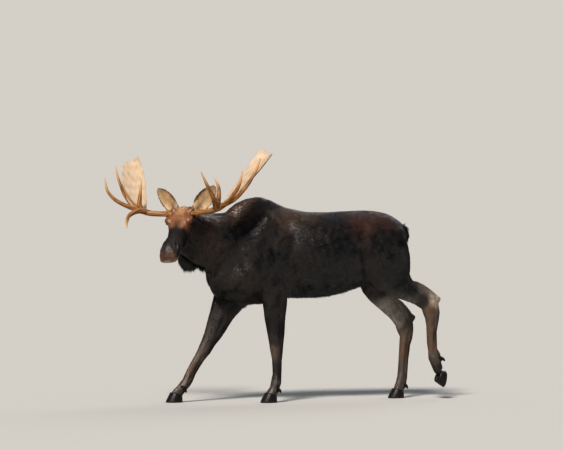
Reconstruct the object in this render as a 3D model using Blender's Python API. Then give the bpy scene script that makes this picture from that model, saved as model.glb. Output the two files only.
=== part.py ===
"""A bull moose in mid-stride, life size, looking to its left.

Axes: +X is the animal's left, -Y its front, +Z up, and the floor is at z = 0.
The flesh is modelled whole, from lofted tubes and ellipsoids that a voxel remesh
melts together, and is then parted with thin cuts. Antlers, hooves, dewclaws and
eyes are solids of their own. All sizes are metres.
"""

import math

import bmesh
import bpy
import numpy as np
from mathutils import Matrix, Vector

# Driving dimensions

# Neighbouring solids stand this far apart
CUT_GAP = 0.0004

# Voxel sizes of the melts: the trunk first by itself, then all the flesh, and each antler
TRUNK_VOXEL = 0.02
FLESH_VOXEL = 0.0095
ANTLER_VOXEL = 0.0055

# Triangles of the whole flesh when the trunk and neck, the legs, or the head are taken from it
TRUNK_DETAIL = 2260
LEG_DETAIL = 3590
HEAD_DETAIL = 4040
DEWCLAW_TRIANGLES = 40

# Until recentre(), x = 0 is the trunk's midline and y = 0 the line of the elbows.

# The head's own frame: x to its left, y from the brow to the nose, z out of the brow
HEAD_AT = Vector((0.20, -0.905, 1.775))
HEAD_YAW = math.radians(50)
HEAD_PITCH = math.radians(42)
HEAD_ROLL = math.radians(2)

FINISHES = {"antler": "antler", "hoof": "hoof", "dewclaw": "hoof", "eye": "eye"}
COLOURS = {
    "coat": ((0.030, 0.022, 0.017), 0.75),
    "antler": ((0.45, 0.27, 0.12), 0.55),
    "hoof": ((0.035, 0.030, 0.028), 0.50),
    "eye": ((0.015, 0.008, 0.005), 0.10),
}


def clear_scene():
    """Empty the scene."""
    for obj in list(bpy.data.objects):
        bpy.data.objects.remove(obj)


def material(name, finish):
    """A Principled material of that name, in one of the finishes of COLOURS."""
    colour, roughness = COLOURS[finish]
    made = bpy.data.materials.new(name)
    made.use_nodes = True
    shader = made.node_tree.nodes["Principled BSDF"]
    shader.inputs["Base Color"].default_value = (*colour, 1)
    shader.inputs["Roughness"].default_value = roughness
    shader.inputs["Metallic"].default_value = 0
    return made


def add_object(name, mesh):
    """A new object of that name, with the mesh and no material."""
    mesh.materials.clear()
    obj = bpy.data.objects.new(name, mesh)
    bpy.context.scene.collection.objects.link(obj)
    return obj


# ---------------------------------------------------------------- shapes


def between(rows, steps):
    """Rows with steps - 1 more between each two, on Catmull-Rom curves through every column."""
    rows = np.array(rows, float)
    padded = np.vstack([2 * rows[0] - rows[1], rows, 2 * rows[-1] - rows[-2]])
    out = []
    for a, b, c, d in zip(padded, padded[1:], padded[2:], padded[3:]):
        for t in np.arange(steps) / steps:
            out.append(
                0.5 * (2 * b + (c - a) * t + (2 * a - 5 * b + 4 * c - d) * t**2
                       + (3 * b - a - 3 * c + d) * t**3)
            )
    out.append(rows[-1])
    return np.array(out)


def signed_power(values, power):
    """The power of each value's size, with the value's sign."""
    return np.sign(values) * np.abs(values) ** power


def loft(rows, rise_axis, steps=4, sides=28, plane=None, matrix=None):
    """A closed tube. A row is x, y, z, half width, rise, drop, rise exponent, drop exponent.

    Each ring is two half superellipses: one reaches rise along rise_axis, the other drop
    against it. Rings stand square to the path, or to plane if it is given.
    """
    rows = between(rows, steps)
    centres = rows[:, :3]
    tangents = np.gradient(centres, axis=0)
    if plane is not None:
        tangents = np.tile(np.array(plane, float), (len(rows), 1))
    tangents /= np.linalg.norm(tangents, axis=1, keepdims=True)
    rise = np.array(rise_axis, float) - tangents * (tangents @ np.array(rise_axis, float))[:, None]
    rise /= np.linalg.norm(rise, axis=1, keepdims=True)
    side = np.cross(tangents, rise)
    turn = np.arange(sides) * 2 * math.pi / sides
    sine = np.sin(turn)
    upper = sine >= 0
    verts = []
    for centre, out, up, (half, above, below, n_up, n_down) in zip(
        centres, side, rise, rows[:, 3:]
    ):
        power = 2 / np.where(upper, n_up, n_down)
        across = signed_power(np.cos(turn), power) * half
        height = signed_power(sine, power) * np.where(upper, above, below)
        verts.append(centre + across[:, None] * out + height[:, None] * up)
    verts = np.concatenate(verts)
    mesh = bmesh.new()
    made = [mesh.verts.new(v) for v in verts]
    rings = [made[i : i + sides] for i in range(0, len(made), sides)]
    for low, high in zip(rings, rings[1:]):
        for k in range(sides):
            mesh.faces.new((low[k - 1], low[k], high[k], high[k - 1]))
    mesh.faces.new(rings[0])
    mesh.faces.new(list(reversed(rings[-1])))
    if matrix is not None:
        bmesh.ops.transform(mesh, matrix=matrix, verts=mesh.verts)
    bmesh.ops.recalc_face_normals(mesh, faces=mesh.faces)
    return mesh


def lump(centre, radii, turn=(0, 0, 0), matrix=None):
    """An ellipsoid, turned by turn degrees about X, Y and Z: a muscle or a bone under the skin."""
    mesh = bmesh.new()
    spin = Matrix.Rotation(math.radians(turn[2]), 4, "Z")
    spin = spin @ Matrix.Rotation(math.radians(turn[1]), 4, "Y")
    spin = spin @ Matrix.Rotation(math.radians(turn[0]), 4, "X")
    place = Matrix.Translation(centre) @ spin @ Matrix.Diagonal((*radii, 1))
    if matrix is not None:
        place = matrix @ place
    bmesh.ops.create_icosphere(mesh, subdivisions=3, radius=1, matrix=place)
    bmesh.ops.recalc_face_normals(mesh, faces=mesh.faces)
    return mesh


def mirrored(row):
    """A lump's centre, radii and turn on the other side of the midline."""
    (x, y, z), radii, (tx, ty, tz) = row
    return (-x, y, z), radii, (tx, -ty, -tz)


def joined(pieces):
    """One mesh that holds every bmesh of pieces."""
    whole = bpy.data.meshes.new("joined")
    total = bmesh.new()
    for piece in pieces:
        piece.to_mesh(whole)
        total.from_mesh(whole)
        piece.free()
    total.to_mesh(whole)
    total.free()
    return whole


def evaluated(obj):
    """The mesh that the object's modifiers make. The object is removed."""
    bpy.context.view_layer.update()
    graph = bpy.context.evaluated_depsgraph_get()
    mesh = bpy.data.meshes.new_from_object(obj.evaluated_get(graph))
    bpy.data.objects.remove(obj)
    return mesh


def melted(pieces, voxel, rounds):
    """The pieces melted into one surface of that voxel size, then smoothed."""
    obj = add_object("melt", joined(pieces))
    remesh = obj.modifiers.new("Remesh", "REMESH")
    remesh.mode = "VOXEL"
    remesh.voxel_size = voxel
    smooth = obj.modifiers.new("Smooth", "SMOOTH")
    smooth.factor = 0.5
    smooth.iterations = rounds
    return evaluated(obj)


def thinned(mesh, triangles):
    """A copy of the mesh decimated to about that many triangles."""
    obj = add_object("thin", mesh.copy())
    decimate = obj.modifiers.new("Decimate", "DECIMATE")
    decimate.ratio = triangles / (2 * len(mesh.polygons))
    decimate.use_collapse_triangulate = True
    return evaluated(obj)


# ---------------------------------------------------------------- trunk

# y, half width, top, widest height, bottom, top exponent, bottom exponent
TRUNK = (
    (-0.60, 0.080, 1.468, 1.26, 1.120, 2.0, 2.0),
    (-0.52, 0.150, 1.628, 1.28, 0.990, 2.0, 2.0),
    (-0.40, 0.215, 1.778, 1.32, 0.935, 1.8, 2.0),
    (-0.27, 0.250, 1.868, 1.33, 0.905, 1.6, 2.0),
    (-0.13, 0.265, 1.908, 1.33, 0.905, 1.5, 2.0),
    (0.00, 0.275, 1.888, 1.33, 0.930, 1.5, 2.1),
    (0.15, 0.290, 1.818, 1.33, 0.965, 1.7, 2.2),
    (0.35, 0.315, 1.770, 1.34, 0.965, 2.0, 2.2),
    (0.55, 0.325, 1.763, 1.36, 0.975, 2.1, 2.2),
    (0.75, 0.305, 1.773, 1.38, 1.015, 2.1, 2.2),
    (0.95, 0.270, 1.783, 1.40, 1.080, 2.1, 2.1),
    (1.12, 0.240, 1.773, 1.42, 1.120, 2.0, 2.0),
    (1.23, 0.200, 1.738, 1.43, 1.140, 2.0, 2.0),
    (1.33, 0.130, 1.678, 1.44, 1.200, 2.0, 2.0),
    (1.38, 0.070, 1.598, 1.45, 1.280, 2.0, 2.0),
)

# Muscle and bone that show through the coat, on the left side: centre, radii, turn
TRUNK_LUMPS = (
    ((0.135, -0.14, 1.42), (0.125, 0.16, 0.36), (-14, 6, 0)),
    ((0.155, -0.24, 1.17), (0.115, 0.20, 0.19), (20, 0, 0)),
    ((0.165, 0.00, 1.12), (0.105, 0.16, 0.20), (25, 0, 0)),
    ((0.125, 1.10, 1.36), (0.145, 0.25, 0.33), (-16, 0, 0)),
    ((0.10, 1.225, 1.32), (0.115, 0.17, 0.28), (6, 0, 0)),
    ((0.135, 0.93, 1.62), (0.085, 0.13, 0.09), (0, 20, 0)),
)


def trunk():
    """The barrel of the body, and the shoulders, hips and other muscles that swell on it."""
    rows = [
        (0, y, widest, half, top - widest, widest - bottom, n_top, n_bottom)
        for y, half, top, widest, bottom, n_top, n_bottom in TRUNK
    ]
    yield loft(rows, (0, 0, 1), plane=(0, 1, 0), sides=40)
    for row in TRUNK_LUMPS:
        yield lump(*row)
        yield lump(*mirrored(row))


# ---------------------------------------------------------------- neck

# x, y, z, half width, rise, drop, exponents
NECK = (
    (0.00, -0.18, 1.42, 0.20, 0.40, 0.36, 1.7, 1.9),
    (0.01, -0.36, 1.45, 0.20, 0.34, 0.34, 1.7, 1.8),
    (0.05, -0.54, 1.50, 0.175, 0.26, 0.32, 1.8, 1.7),
    (0.11, -0.70, 1.56, 0.150, 0.20, 0.29, 1.9, 1.7),
    (0.17, -0.83, 1.62, 0.125, 0.15, 0.26, 2.0, 1.8),
    (0.21, -0.91, 1.64, 0.105, 0.11, 0.20, 2.0, 2.0),
)


def neck():
    """The thick neck, which bends to the left towards the head."""
    yield loft(NECK, (0, 0, 1), sides=36)


# ---------------------------------------------------------------- head

# Along the head, with z = 0 on the brow: y, half width, top, widest, bottom, exponents
HEAD = (
    (-0.10, 0.060, -0.060, -0.12, -0.19, 2.0, 2.0),
    (-0.05, 0.095, -0.020, -0.12, -0.24, 2.2, 2.0),
    (0.02, 0.113, 0.000, -0.10, -0.275, 2.4, 1.9),
    (0.09, 0.118, 0.000, -0.085, -0.285, 2.4, 1.8),
    (0.16, 0.108, -0.012, -0.09, -0.275, 2.3, 1.8),
    (0.23, 0.086, -0.022, -0.10, -0.250, 2.2, 1.8),
    (0.31, 0.076, -0.022, -0.105, -0.225, 2.1, 1.9),
    (0.38, 0.078, -0.012, -0.100, -0.200, 2.1, 2.0),
    (0.44, 0.085, -0.008, -0.100, -0.185, 2.1, 2.1),
    (0.50, 0.089, -0.016, -0.105, -0.180, 2.2, 2.2),
    (0.545, 0.085, -0.034, -0.110, -0.180, 2.3, 2.2),
    (0.575, 0.070, -0.062, -0.120, -0.172, 2.2, 2.2),
    (0.588, 0.042, -0.090, -0.125, -0.155, 2.0, 2.0),
)

HEAD_LUMPS = (
    ((0.097, 0.115, -0.032), (0.034, 0.055, 0.030), (0, 0, 0)),
    ((0.070, 0.10, -0.165), (0.050, 0.10, 0.085), (0, 0, 0)),
    ((0.080, 0.00, -0.035), (0.045, 0.045, 0.040), (0, 0, 0)),
)


def brow_turn():
    """The head's turn and roll without its pitch, with y forward and x to its left."""
    turn = Matrix.Rotation(HEAD_YAW, 4, "Z") @ Matrix.Rotation(-HEAD_ROLL, 4, "Y")
    return turn @ Matrix.Diagonal((1, -1, 1, 1))


def head_matrix():
    """From the head's frame to the world's."""
    pitch = Matrix.Rotation(-HEAD_PITCH, 4, "X")
    return Matrix.Translation(HEAD_AT) @ brow_turn() @ pitch


def head():
    """The skull and muzzle, with the brows, cheeks and the pedicles of the antlers."""
    place = head_matrix()
    rows = [
        (0, y, widest, half, top - widest, widest - bottom, n_top, n_bottom)
        for y, half, top, widest, bottom, n_top, n_bottom in HEAD
    ]
    yield loft(rows, (0, 0, 1), plane=(0, 1, 0), sides=32, matrix=place)
    for row in HEAD_LUMPS:
        yield lump(*row, matrix=place)
        yield lump(*mirrored(row), matrix=place)


# ---------------------------------------------------------------- legs

# From the body down: x, y, z, half width, front, back, exponents
LEGS = {
    "front_left": (
        (0.150, -0.06, 1.22, 0.075, 0.150, 0.150, 2.0, 2.0),
        (0.160, -0.02, 1.06, 0.078, 0.125, 0.150, 2.0, 2.0),
        (0.165, 0.005, 0.96, 0.075, 0.120, 0.130, 2.0, 2.0),
        (0.168, 0.010, 0.80, 0.066, 0.105, 0.105, 2.0, 2.0),
        (0.168, 0.020, 0.64, 0.056, 0.086, 0.086, 2.1, 2.0),
        (0.168, 0.022, 0.53, 0.053, 0.066, 0.070, 2.3, 2.1),
        (0.168, 0.025, 0.46, 0.048, 0.056, 0.062, 2.3, 2.1),
        (0.168, 0.029, 0.38, 0.037, 0.048, 0.050, 2.1, 2.0),
        (0.168, 0.029, 0.27, 0.034, 0.045, 0.047, 2.0, 2.0),
        (0.168, 0.018, 0.19, 0.041, 0.046, 0.054, 2.0, 2.0),
        (0.168, 0.000, 0.13, 0.044, 0.044, 0.050, 2.0, 2.0),
        (0.168, -0.025, 0.080, 0.052, 0.050, 0.052, 2.3, 2.3),
        (0.168, -0.035, 0.030, 0.052, 0.055, 0.055, 2.3, 2.3),
    ),
    "front_right": (
        (-0.150, -0.20, 1.20, 0.080, 0.170, 0.150, 2.0, 2.0),
        (-0.158, -0.28, 1.04, 0.080, 0.160, 0.190, 2.0, 2.0),
        (-0.165, -0.335, 0.93, 0.076, 0.150, 0.157, 2.0, 2.0),
        (-0.168, -0.400, 0.80, 0.066, 0.115, 0.120, 2.0, 2.0),
        (-0.168, -0.465, 0.65, 0.056, 0.096, 0.092, 2.1, 2.0),
        (-0.168, -0.525, 0.55, 0.053, 0.068, 0.072, 2.3, 2.1),
        (-0.168, -0.560, 0.485, 0.048, 0.062, 0.067, 2.3, 2.1),
        (-0.168, -0.612, 0.405, 0.038, 0.053, 0.054, 2.1, 2.0),
        (-0.168, -0.684, 0.290, 0.035, 0.050, 0.051, 2.0, 2.0),
        (-0.168, -0.735, 0.195, 0.041, 0.046, 0.056, 2.0, 2.0),
        (-0.168, -0.785, 0.130, 0.044, 0.046, 0.050, 2.0, 2.0),
        (-0.168, -0.825, 0.080, 0.052, 0.052, 0.052, 2.3, 2.3),
        (-0.168, -0.840, 0.030, 0.052, 0.055, 0.055, 2.3, 2.3),
    ),
    "hind_left": (
        (0.120, 1.10, 1.34, 0.105, 0.22, 0.26, 2.0, 2.0),
        (0.140, 1.17, 1.20, 0.095, 0.21, 0.20, 2.0, 2.0),
        (0.150, 1.26, 1.09, 0.080, 0.15, 0.145, 2.0, 2.0),
        (0.152, 1.36, 1.02, 0.062, 0.105, 0.095, 2.0, 2.0),
        (0.152, 1.47, 0.955, 0.050, 0.085, 0.080, 2.1, 2.0),
        (0.152, 1.56, 0.905, 0.048, 0.096, 0.086, 2.3, 2.0),
        (0.152, 1.592, 0.830, 0.047, 0.098, 0.080, 2.3, 2.0),
        (0.152, 1.596, 0.745, 0.041, 0.075, 0.066, 2.1, 2.0),
        (0.152, 1.590, 0.66, 0.036, 0.058, 0.056, 2.0, 2.0),
        (0.152, 1.588, 0.55, 0.034, 0.052, 0.053, 2.0, 2.0),
        (0.152, 1.596, 0.47, 0.034, 0.050, 0.052, 2.0, 2.0),
        (0.152, 1.614, 0.400, 0.041, 0.062, 0.068, 2.0, 2.0),
        (0.152, 1.632, 0.335, 0.044, 0.053, 0.056, 2.0, 2.0),
        (0.152, 1.655, 0.280, 0.047, 0.047, 0.050, 2.2, 2.2),
        (0.152, 1.680, 0.245, 0.047, 0.043, 0.046, 2.3, 2.3),
        (0.152, 1.708, 0.225, 0.047, 0.040, 0.044, 2.3, 2.3),
    ),
    "hind_right": (
        (-0.120, 1.08, 1.34, 0.105, 0.24, 0.25, 2.0, 2.0),
        (-0.135, 1.12, 1.18, 0.095, 0.20, 0.19, 2.0, 2.0),
        (-0.142, 1.18, 1.03, 0.080, 0.150, 0.140, 2.0, 2.0),
        (-0.146, 1.27, 0.91, 0.062, 0.110, 0.105, 2.0, 2.0),
        (-0.146, 1.365, 0.805, 0.053, 0.094, 0.092, 2.1, 2.0),
        (-0.146, 1.430, 0.725, 0.049, 0.098, 0.094, 2.3, 2.0),
        (-0.146, 1.452, 0.655, 0.047, 0.096, 0.078, 2.3, 2.0),
        (-0.146, 1.453, 0.585, 0.041, 0.073, 0.068, 2.2, 2.0),
        (-0.146, 1.438, 0.50, 0.036, 0.058, 0.058, 2.0, 2.0),
        (-0.146, 1.425, 0.38, 0.034, 0.053, 0.054, 2.0, 2.0),
        (-0.146, 1.415, 0.25, 0.037, 0.050, 0.054, 2.0, 2.0),
        (-0.146, 1.400, 0.165, 0.045, 0.050, 0.058, 2.0, 2.0),
        (-0.146, 1.373, 0.080, 0.052, 0.050, 0.052, 2.3, 2.3),
        (-0.146, 1.362, 0.030, 0.052, 0.055, 0.055, 2.3, 2.3),
    ),
}


# The point of each hock and the tendon that runs down to it: centre, radii, tilt in degrees
LEG_LUMPS = (
    ((0.152, 1.640, 0.945), (0.028, 0.042, 0.038), 0),
    ((0.152, 1.520, 1.030), (0.024, 0.175, 0.040), -31),
    ((-0.146, 1.508, 0.765), (0.028, 0.042, 0.038), 0),
    ((-0.146, 1.425, 0.855), (0.024, 0.150, 0.040), -46),
)


def legs():
    """All four legs from inside the trunk to the coronets, and the points of the hocks."""
    for rows in LEGS.values():
        yield loft(rows, (0, -1, 0), sides=24)
    for centre, radii, tilt in LEG_LUMPS:
        yield lump(centre, radii, (tilt, 0, 0))


# ---------------------------------------------------------------- antlers

# The antlers' frame stands level on the brow: x out from the midline, y forward, z up.
# Each row is x, y, z and the radius there.
BEAM = (
    (0.045, -0.01, -0.030, 0.024),
    (0.125, 0.000, -0.015, 0.027),
    (0.135, 0.000, -0.014, 0.035),
    (0.148, 0.001, -0.013, 0.034),
    (0.160, 0.002, -0.012, 0.026),
    (0.230, 0.010, -0.008, 0.025),
    (0.310, 0.030, 0.000, 0.026),
    (0.385, 0.040, 0.025, 0.030),
    (0.430, 0.030, 0.050, 0.022),
)
OUTER_TINES = (
    (
        (0.400, 0.035, 0.030, 0.024),
        (0.460, 0.085, 0.050, 0.023),
        (0.530, 0.150, 0.085, 0.020),
        (0.600, 0.210, 0.140, 0.018),
        (0.660, 0.230, 0.220, 0.014),
        (0.685, 0.220, 0.335, 0.006),
    ),
    (
        (0.440, 0.030, 0.050, 0.022),
        (0.520, 0.006, 0.094, 0.020),
        (0.590, -0.030, 0.170, 0.019),
        (0.640, -0.060, 0.240, 0.016),
        (0.700, -0.100, 0.360, 0.012),
        (0.730, -0.130, 0.460, 0.006),
    ),
)
BROW_TINES = {
    "left": (
        (
            (0.350, 0.040, 0.020, 0.027),
            (0.375, 0.120, 0.055, 0.026),
            (0.385, 0.200, 0.120, 0.021),
            (0.365, 0.280, 0.220, 0.015),
            (0.330, 0.330, 0.340, 0.006),
        ),
        (
            (0.375, 0.060, 0.040, 0.024),
            (0.400, 0.095, 0.110, 0.022),
            (0.405, 0.100, 0.200, 0.016),
            (0.367, 0.090, 0.290, 0.007),
        ),
    ),
    "right": (
        (
            (0.350, 0.040, 0.015, 0.027),
            (0.390, 0.150, 0.020, 0.024),
            (0.415, 0.280, -0.020, 0.019),
            (0.412, 0.350, -0.080, 0.014),
            (0.400, 0.380, -0.136, 0.006),
        ),
        (
            (0.380, 0.060, 0.020, 0.026),
            (0.392, 0.095, 0.080, 0.024),
            (0.385, 0.095, 0.150, 0.018),
            (0.367, 0.090, 0.290, 0.007),
        ),
    ),
}

# The palm's front and back edges, from the fork to its far end
PALM_FRONT = (
    (0.400, 0.050, 0.020),
    (0.490, 0.055, 0.075),
    (0.580, 0.000, 0.165),
    (0.665, -0.120, 0.300),
    (0.725, -0.250, 0.415),
    (0.755, -0.380, 0.510),
)
PALM_BACK = (
    (0.370, -0.010, 0.020),
    (0.395, -0.080, 0.090),
    (0.435, -0.165, 0.195),
    (0.478, -0.250, 0.290),
    (0.545, -0.350, 0.430),
    (0.625, -0.430, 0.565),
)
PALM_BULGE = 0.045
PALM_THICKNESS = 0.020
ANTLER_TRIANGLES = 620

# Where an antler is split: off its beam, and at the fork between brow tines and palm
BEAM_CUT = ((0.31, 0.0, 0.0), (1.0, 0.0, 0.0))
FORK_CUT = ((0.40, 0.077, 0.0), (-0.75, 0.65, 0.10))

# The right antler reaches a little less far out than the left one
RIGHT_SPREAD = 0.955


def antler_matrix(side):
    """From one antler's frame to the world's; side is 1 for the left and -1 for the right."""
    base = head_matrix() @ Vector((0, 0.01, -0.030))
    outward = side if side > 0 else side * RIGHT_SPREAD
    return Matrix.Translation(base) @ brow_turn() @ Matrix.Diagonal((outward, 1, 1, 1))


def spike(rows, matrix):
    """A round tube along rows of x, y, z and radius."""
    rows = [(x, y, z, r, r, r, 2, 2) for x, y, z, r in rows]
    return loft(rows, (0.3, 0.5, 1.0), sides=14, matrix=matrix)


def palm(matrix):
    """A bowed plate between the palm's two edges, rounded along them."""
    front = between(PALM_FRONT, 5)
    back = between(PALM_BACK, 5)
    across = np.linspace(0, 1, 15)
    middle = front[:, None] * (1 - across[:, None]) + back[:, None] * across[:, None]
    along = np.gradient(middle, axis=0)
    over = np.gradient(middle, axis=1)
    normal = np.cross(over, along)
    normal /= np.linalg.norm(normal, axis=2, keepdims=True)
    swell = np.sin(math.pi * across)[None, :, None]
    opening = np.linspace(0.2, 1, len(front))[:, None, None]
    middle = middle - normal * swell * opening * PALM_BULGE
    half = PALM_THICKNESS / 2 * np.clip(swell * 1.6, 0.7, 1)
    mesh = bmesh.new()
    skins = []
    for points in (middle + normal * half, middle - normal * half):
        skins.append([[mesh.verts.new(p) for p in row] for row in points])
    upper, lower = skins
    rows, columns = middle.shape[:2]
    for i in range(rows - 1):
        for k in range(columns - 1):
            mesh.faces.new((upper[i][k], upper[i][k + 1], upper[i + 1][k + 1], upper[i + 1][k]))
            mesh.faces.new((lower[i][k], lower[i + 1][k], lower[i + 1][k + 1], lower[i][k + 1]))
    rim = [(0, k) for k in range(columns)]
    rim += [(i, columns - 1) for i in range(1, rows)]
    rim += [(rows - 1, k) for k in range(columns - 2, -1, -1)]
    rim += [(i, 0) for i in range(rows - 2, 0, -1)]
    for (i, k), (m, n) in zip(rim, rim[1:] + rim[:1]):
        mesh.faces.new((upper[i][k], lower[i][k], lower[m][n], upper[m][n]))
    bmesh.ops.transform(mesh, matrix=matrix, verts=mesh.verts)
    bmesh.ops.recalc_face_normals(mesh, faces=mesh.faces)
    return mesh


def antler(name, side):
    """One antler, split at its fork into beam, brow tines and palm."""
    place = antler_matrix(side)
    rods = (BEAM, *OUTER_TINES, *BROW_TINES[name])
    pieces = [spike(rows, place) for rows in rods] + [palm(place)]
    whole = thinned(melted(pieces, ANTLER_VOXEL, 3), ANTLER_TRIANGLES)
    outer, beam = parted(whole, *framed(BEAM_CUT, place))
    brow, blade = parted(outer, *framed(FORK_CUT, place))
    return {
        f"antler_{name}_brow_tines": brow,
        f"antler_{name}_palm": blade,
        f"antler_{name}_beam": beam,
    }


# ---------------------------------------------------------------- ears, eyes, tail and bell

# In the head's frame
EYE_AT = (0.114, 0.112, -0.062)
EYE_RADIUS = 0.023

# Along the ear: distance, half width, outer depth, inner depth
EAR = (
    (-0.035, 0.026, 0.024, -0.024),
    (0.000, 0.030, 0.028, -0.026),
    (0.050, 0.057, 0.046, -0.012),
    (0.101, 0.073, 0.050, 0.034),
    (0.152, 0.078, 0.047, 0.035),
    (0.202, 0.073, 0.039, 0.027),
    (0.253, 0.057, 0.025, 0.016),
    (0.290, 0.033, 0.014, 0.005),
    (0.310, 0.012, 0.005, -0.002),
)
EAR_AT = (0.084, -0.086, -0.004)
EAR_ALONG = Vector((0.67, -0.05, 0.74)).normalized()
EAR_FACING = Vector((0.30, 0.90, 0.0))

# The first four rings of an ear stand in the head, and the head's socket is cut round them
EAR_ROOT_VERTICES = 4 * 16

# x, y, z, half width, front, back, exponents
TAIL = (
    (0.0, 1.345, 1.640, 0.030, 0.030, 0.030, 2.0, 2.0),
    (0.0, 1.385, 1.605, 0.032, 0.026, 0.026, 2.0, 2.0),
    (0.0, 1.402, 1.555, 0.028, 0.020, 0.020, 2.0, 2.0),
    (0.0, 1.405, 1.500, 0.012, 0.010, 0.010, 2.0, 2.0),
)

# The bell of skin and hair under the throat, from its root down
BELL = (
    (0.080, -0.800, 1.460, 0.036, 0.115, 0.110, 2.0, 2.0),
    (0.080, -0.800, 1.370, 0.036, 0.115, 0.110, 2.0, 2.0),
    (0.080, -0.800, 1.300, 0.034, 0.105, 0.100, 2.0, 2.0),
    (0.080, -0.795, 1.240, 0.026, 0.080, 0.078, 2.0, 2.0),
    (0.080, -0.795, 1.195, 0.014, 0.042, 0.042, 2.0, 2.0),
)


def ear(matrix):
    """A cupped leaf: rings of an outer arc and a flatter inner arc that meet at the rim."""
    rows = EAR
    facing = EAR_FACING - EAR_ALONG * EAR_FACING.dot(EAR_ALONG)
    facing.normalize()
    side = EAR_ALONG.cross(facing)
    turn = np.linspace(0, math.pi, 9)
    mesh = bmesh.new()
    rings = []
    for along, half, outer, inner in rows:
        centre = Vector(EAR_AT) + EAR_ALONG * along
        ring = [(half * math.cos(a), -outer * math.sin(a)) for a in turn]
        ring += [(half * math.cos(a), -inner * math.sin(a)) for a in turn[-2:0:-1]]
        rings.append([mesh.verts.new(centre + side * s + facing * f) for s, f in ring])
    for low, high in zip(rings, rings[1:]):
        for k in range(len(low)):
            mesh.faces.new((low[k - 1], low[k], high[k], high[k - 1]))
    mesh.faces.new(rings[0])
    mesh.faces.new(rings[-1])
    bmesh.ops.transform(mesh, matrix=matrix, verts=mesh.verts)
    bmesh.ops.recalc_face_normals(mesh, faces=mesh.faces)
    return mesh


def eye(matrix):
    """An eyeball, half sunk in the head."""
    mesh = bmesh.new()
    place = matrix @ Matrix.Translation(EYE_AT)
    bmesh.ops.create_uvsphere(
        mesh, u_segments=12, v_segments=8, radius=EYE_RADIUS, matrix=place
    )
    bmesh.ops.recalc_face_normals(mesh, faces=mesh.faces)
    return mesh


# ---------------------------------------------------------------- feet

# Where each foot's sole is centred, and how far its toe is tipped down
FEET = {
    "front_left": ((0.168, -0.035, 0.0), 0),
    "front_right": ((-0.168, -0.840, 0.0), 0),
    "hind_left": ((0.152, 1.722, 0.205), 83),
    "hind_right": ((-0.146, 1.362, 0.0), 0),
}
# The lifted foot is bent at the fetlock, so its dewclaws keep a frame of their own.
DEWCLAW_FEET = {**FEET, "hind_left": ((0.152, 1.653, 0.245), 20)}
CORONET = ((0, 0, 0.078), (0, 0.35, 1))

# One toe, from the sole up: height, half length, width, y of the middle
TOE = (
    (0.000, 0.078, 0.056, -0.018),
    (0.006, 0.080, 0.058, -0.017),
    (0.045, 0.070, 0.056, -0.008),
    (0.085, 0.059, 0.053, 0.003),
    (0.115, 0.052, 0.050, 0.008),
)

# A toe's flat inner side stands this far from the foot's middle, and its outline is never
# narrower than the edge
TOE_GAP = 0.003
TOE_EDGE = 0.002

# The outline of a toe: how fast it narrows to the front and heel, and its inner side's corners
TOE_FRONT_POWER = 2.2
TOE_HEEL_POWER = 3.2
TOE_SIDE_POWER = 0.6
TOE_INNER = (0.9, 0.0, -0.95)

# Along a dewclaw, from inside the leg out and down: x, y, z, radius
DEWCLAW = (
    (0.022, 0.040, 0.150, 0.012),
    (0.026, 0.064, 0.132, 0.016),
    (0.031, 0.084, 0.108, 0.014),
    (0.034, 0.094, 0.086, 0.005),
)


def foot_matrix(name, table=FEET):
    """From a foot's own frame, which stands on its sole with the toe forward, to the world's."""
    place, tip = table[name]
    return Matrix.Translation(place) @ Matrix.Rotation(math.radians(tip), 4, "X")


def toe(side, matrix):
    """One half of a cloven hoof: flat inner side, rounded outer side, pointed in front."""
    mesh = bmesh.new()
    rings = []
    for height, half, width, middle in TOE:
        ring = []
        for k in range(8):
            reach = -math.cos(math.pi * k / 7)
            taper = TOE_FRONT_POWER if reach < 0 else TOE_HEEL_POWER
            bulge = (1 - abs(reach) ** taper) ** TOE_SIDE_POWER
            ring.append((TOE_GAP + TOE_EDGE + width * bulge, middle + half * reach, height))
        ring += [(TOE_GAP, middle + half * share, height) for share in TOE_INNER]
        rings.append([mesh.verts.new((side * x, y, z)) for x, y, z in ring])
    for low, high in zip(rings, rings[1:]):
        for k in range(len(low)):
            mesh.faces.new((low[k - 1], low[k], high[k], high[k - 1]))
    mesh.faces.new(rings[0])
    mesh.faces.new(rings[-1])
    bmesh.ops.transform(mesh, matrix=matrix, verts=mesh.verts)
    bmesh.ops.recalc_face_normals(mesh, faces=mesh.faces)
    return mesh


def to_mesh(shape, name):
    """A mesh of triangles made from a bmesh, which is used up."""
    bmesh.ops.triangulate(shape, faces=shape.faces)
    mesh = bpy.data.meshes.new(name)
    shape.to_mesh(mesh)
    shape.free()
    return mesh


def feet():
    """Hooves and dewclaws by node name."""
    hooves = {}
    dewclaws = {}
    for name in FEET:
        place = foot_matrix(name)
        coronet = framed(CORONET, place)
        left = 1 if name.endswith("left") else -1
        for word, side in (("outer", left), ("inner", -left)):
            whole = to_mesh(toe(side, place), "toe")
            hooves[f"hoof_{name}_{word}"] = parted(whole, *coronet)[1]
            claw = foot_matrix(name, DEWCLAW_FEET) @ Matrix.Diagonal((side, 1, 1, 1))
            solid = to_mesh(spike(DEWCLAW, claw), "claw")
            dewclaws[f"dewclaw_{name}_{word}"] = thinned(solid, DEWCLAW_TRIANGLES)
    return hooves, dewclaws


# ---------------------------------------------------------------- cuts


def framed(cut, matrix):
    """A plane's point and normal, carried from a frame to the world."""
    point, normal = cut
    point = matrix @ Vector(point)
    normal = matrix.to_3x3().inverted().transposed() @ Vector(normal)
    return point, normal.normalized()


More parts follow.
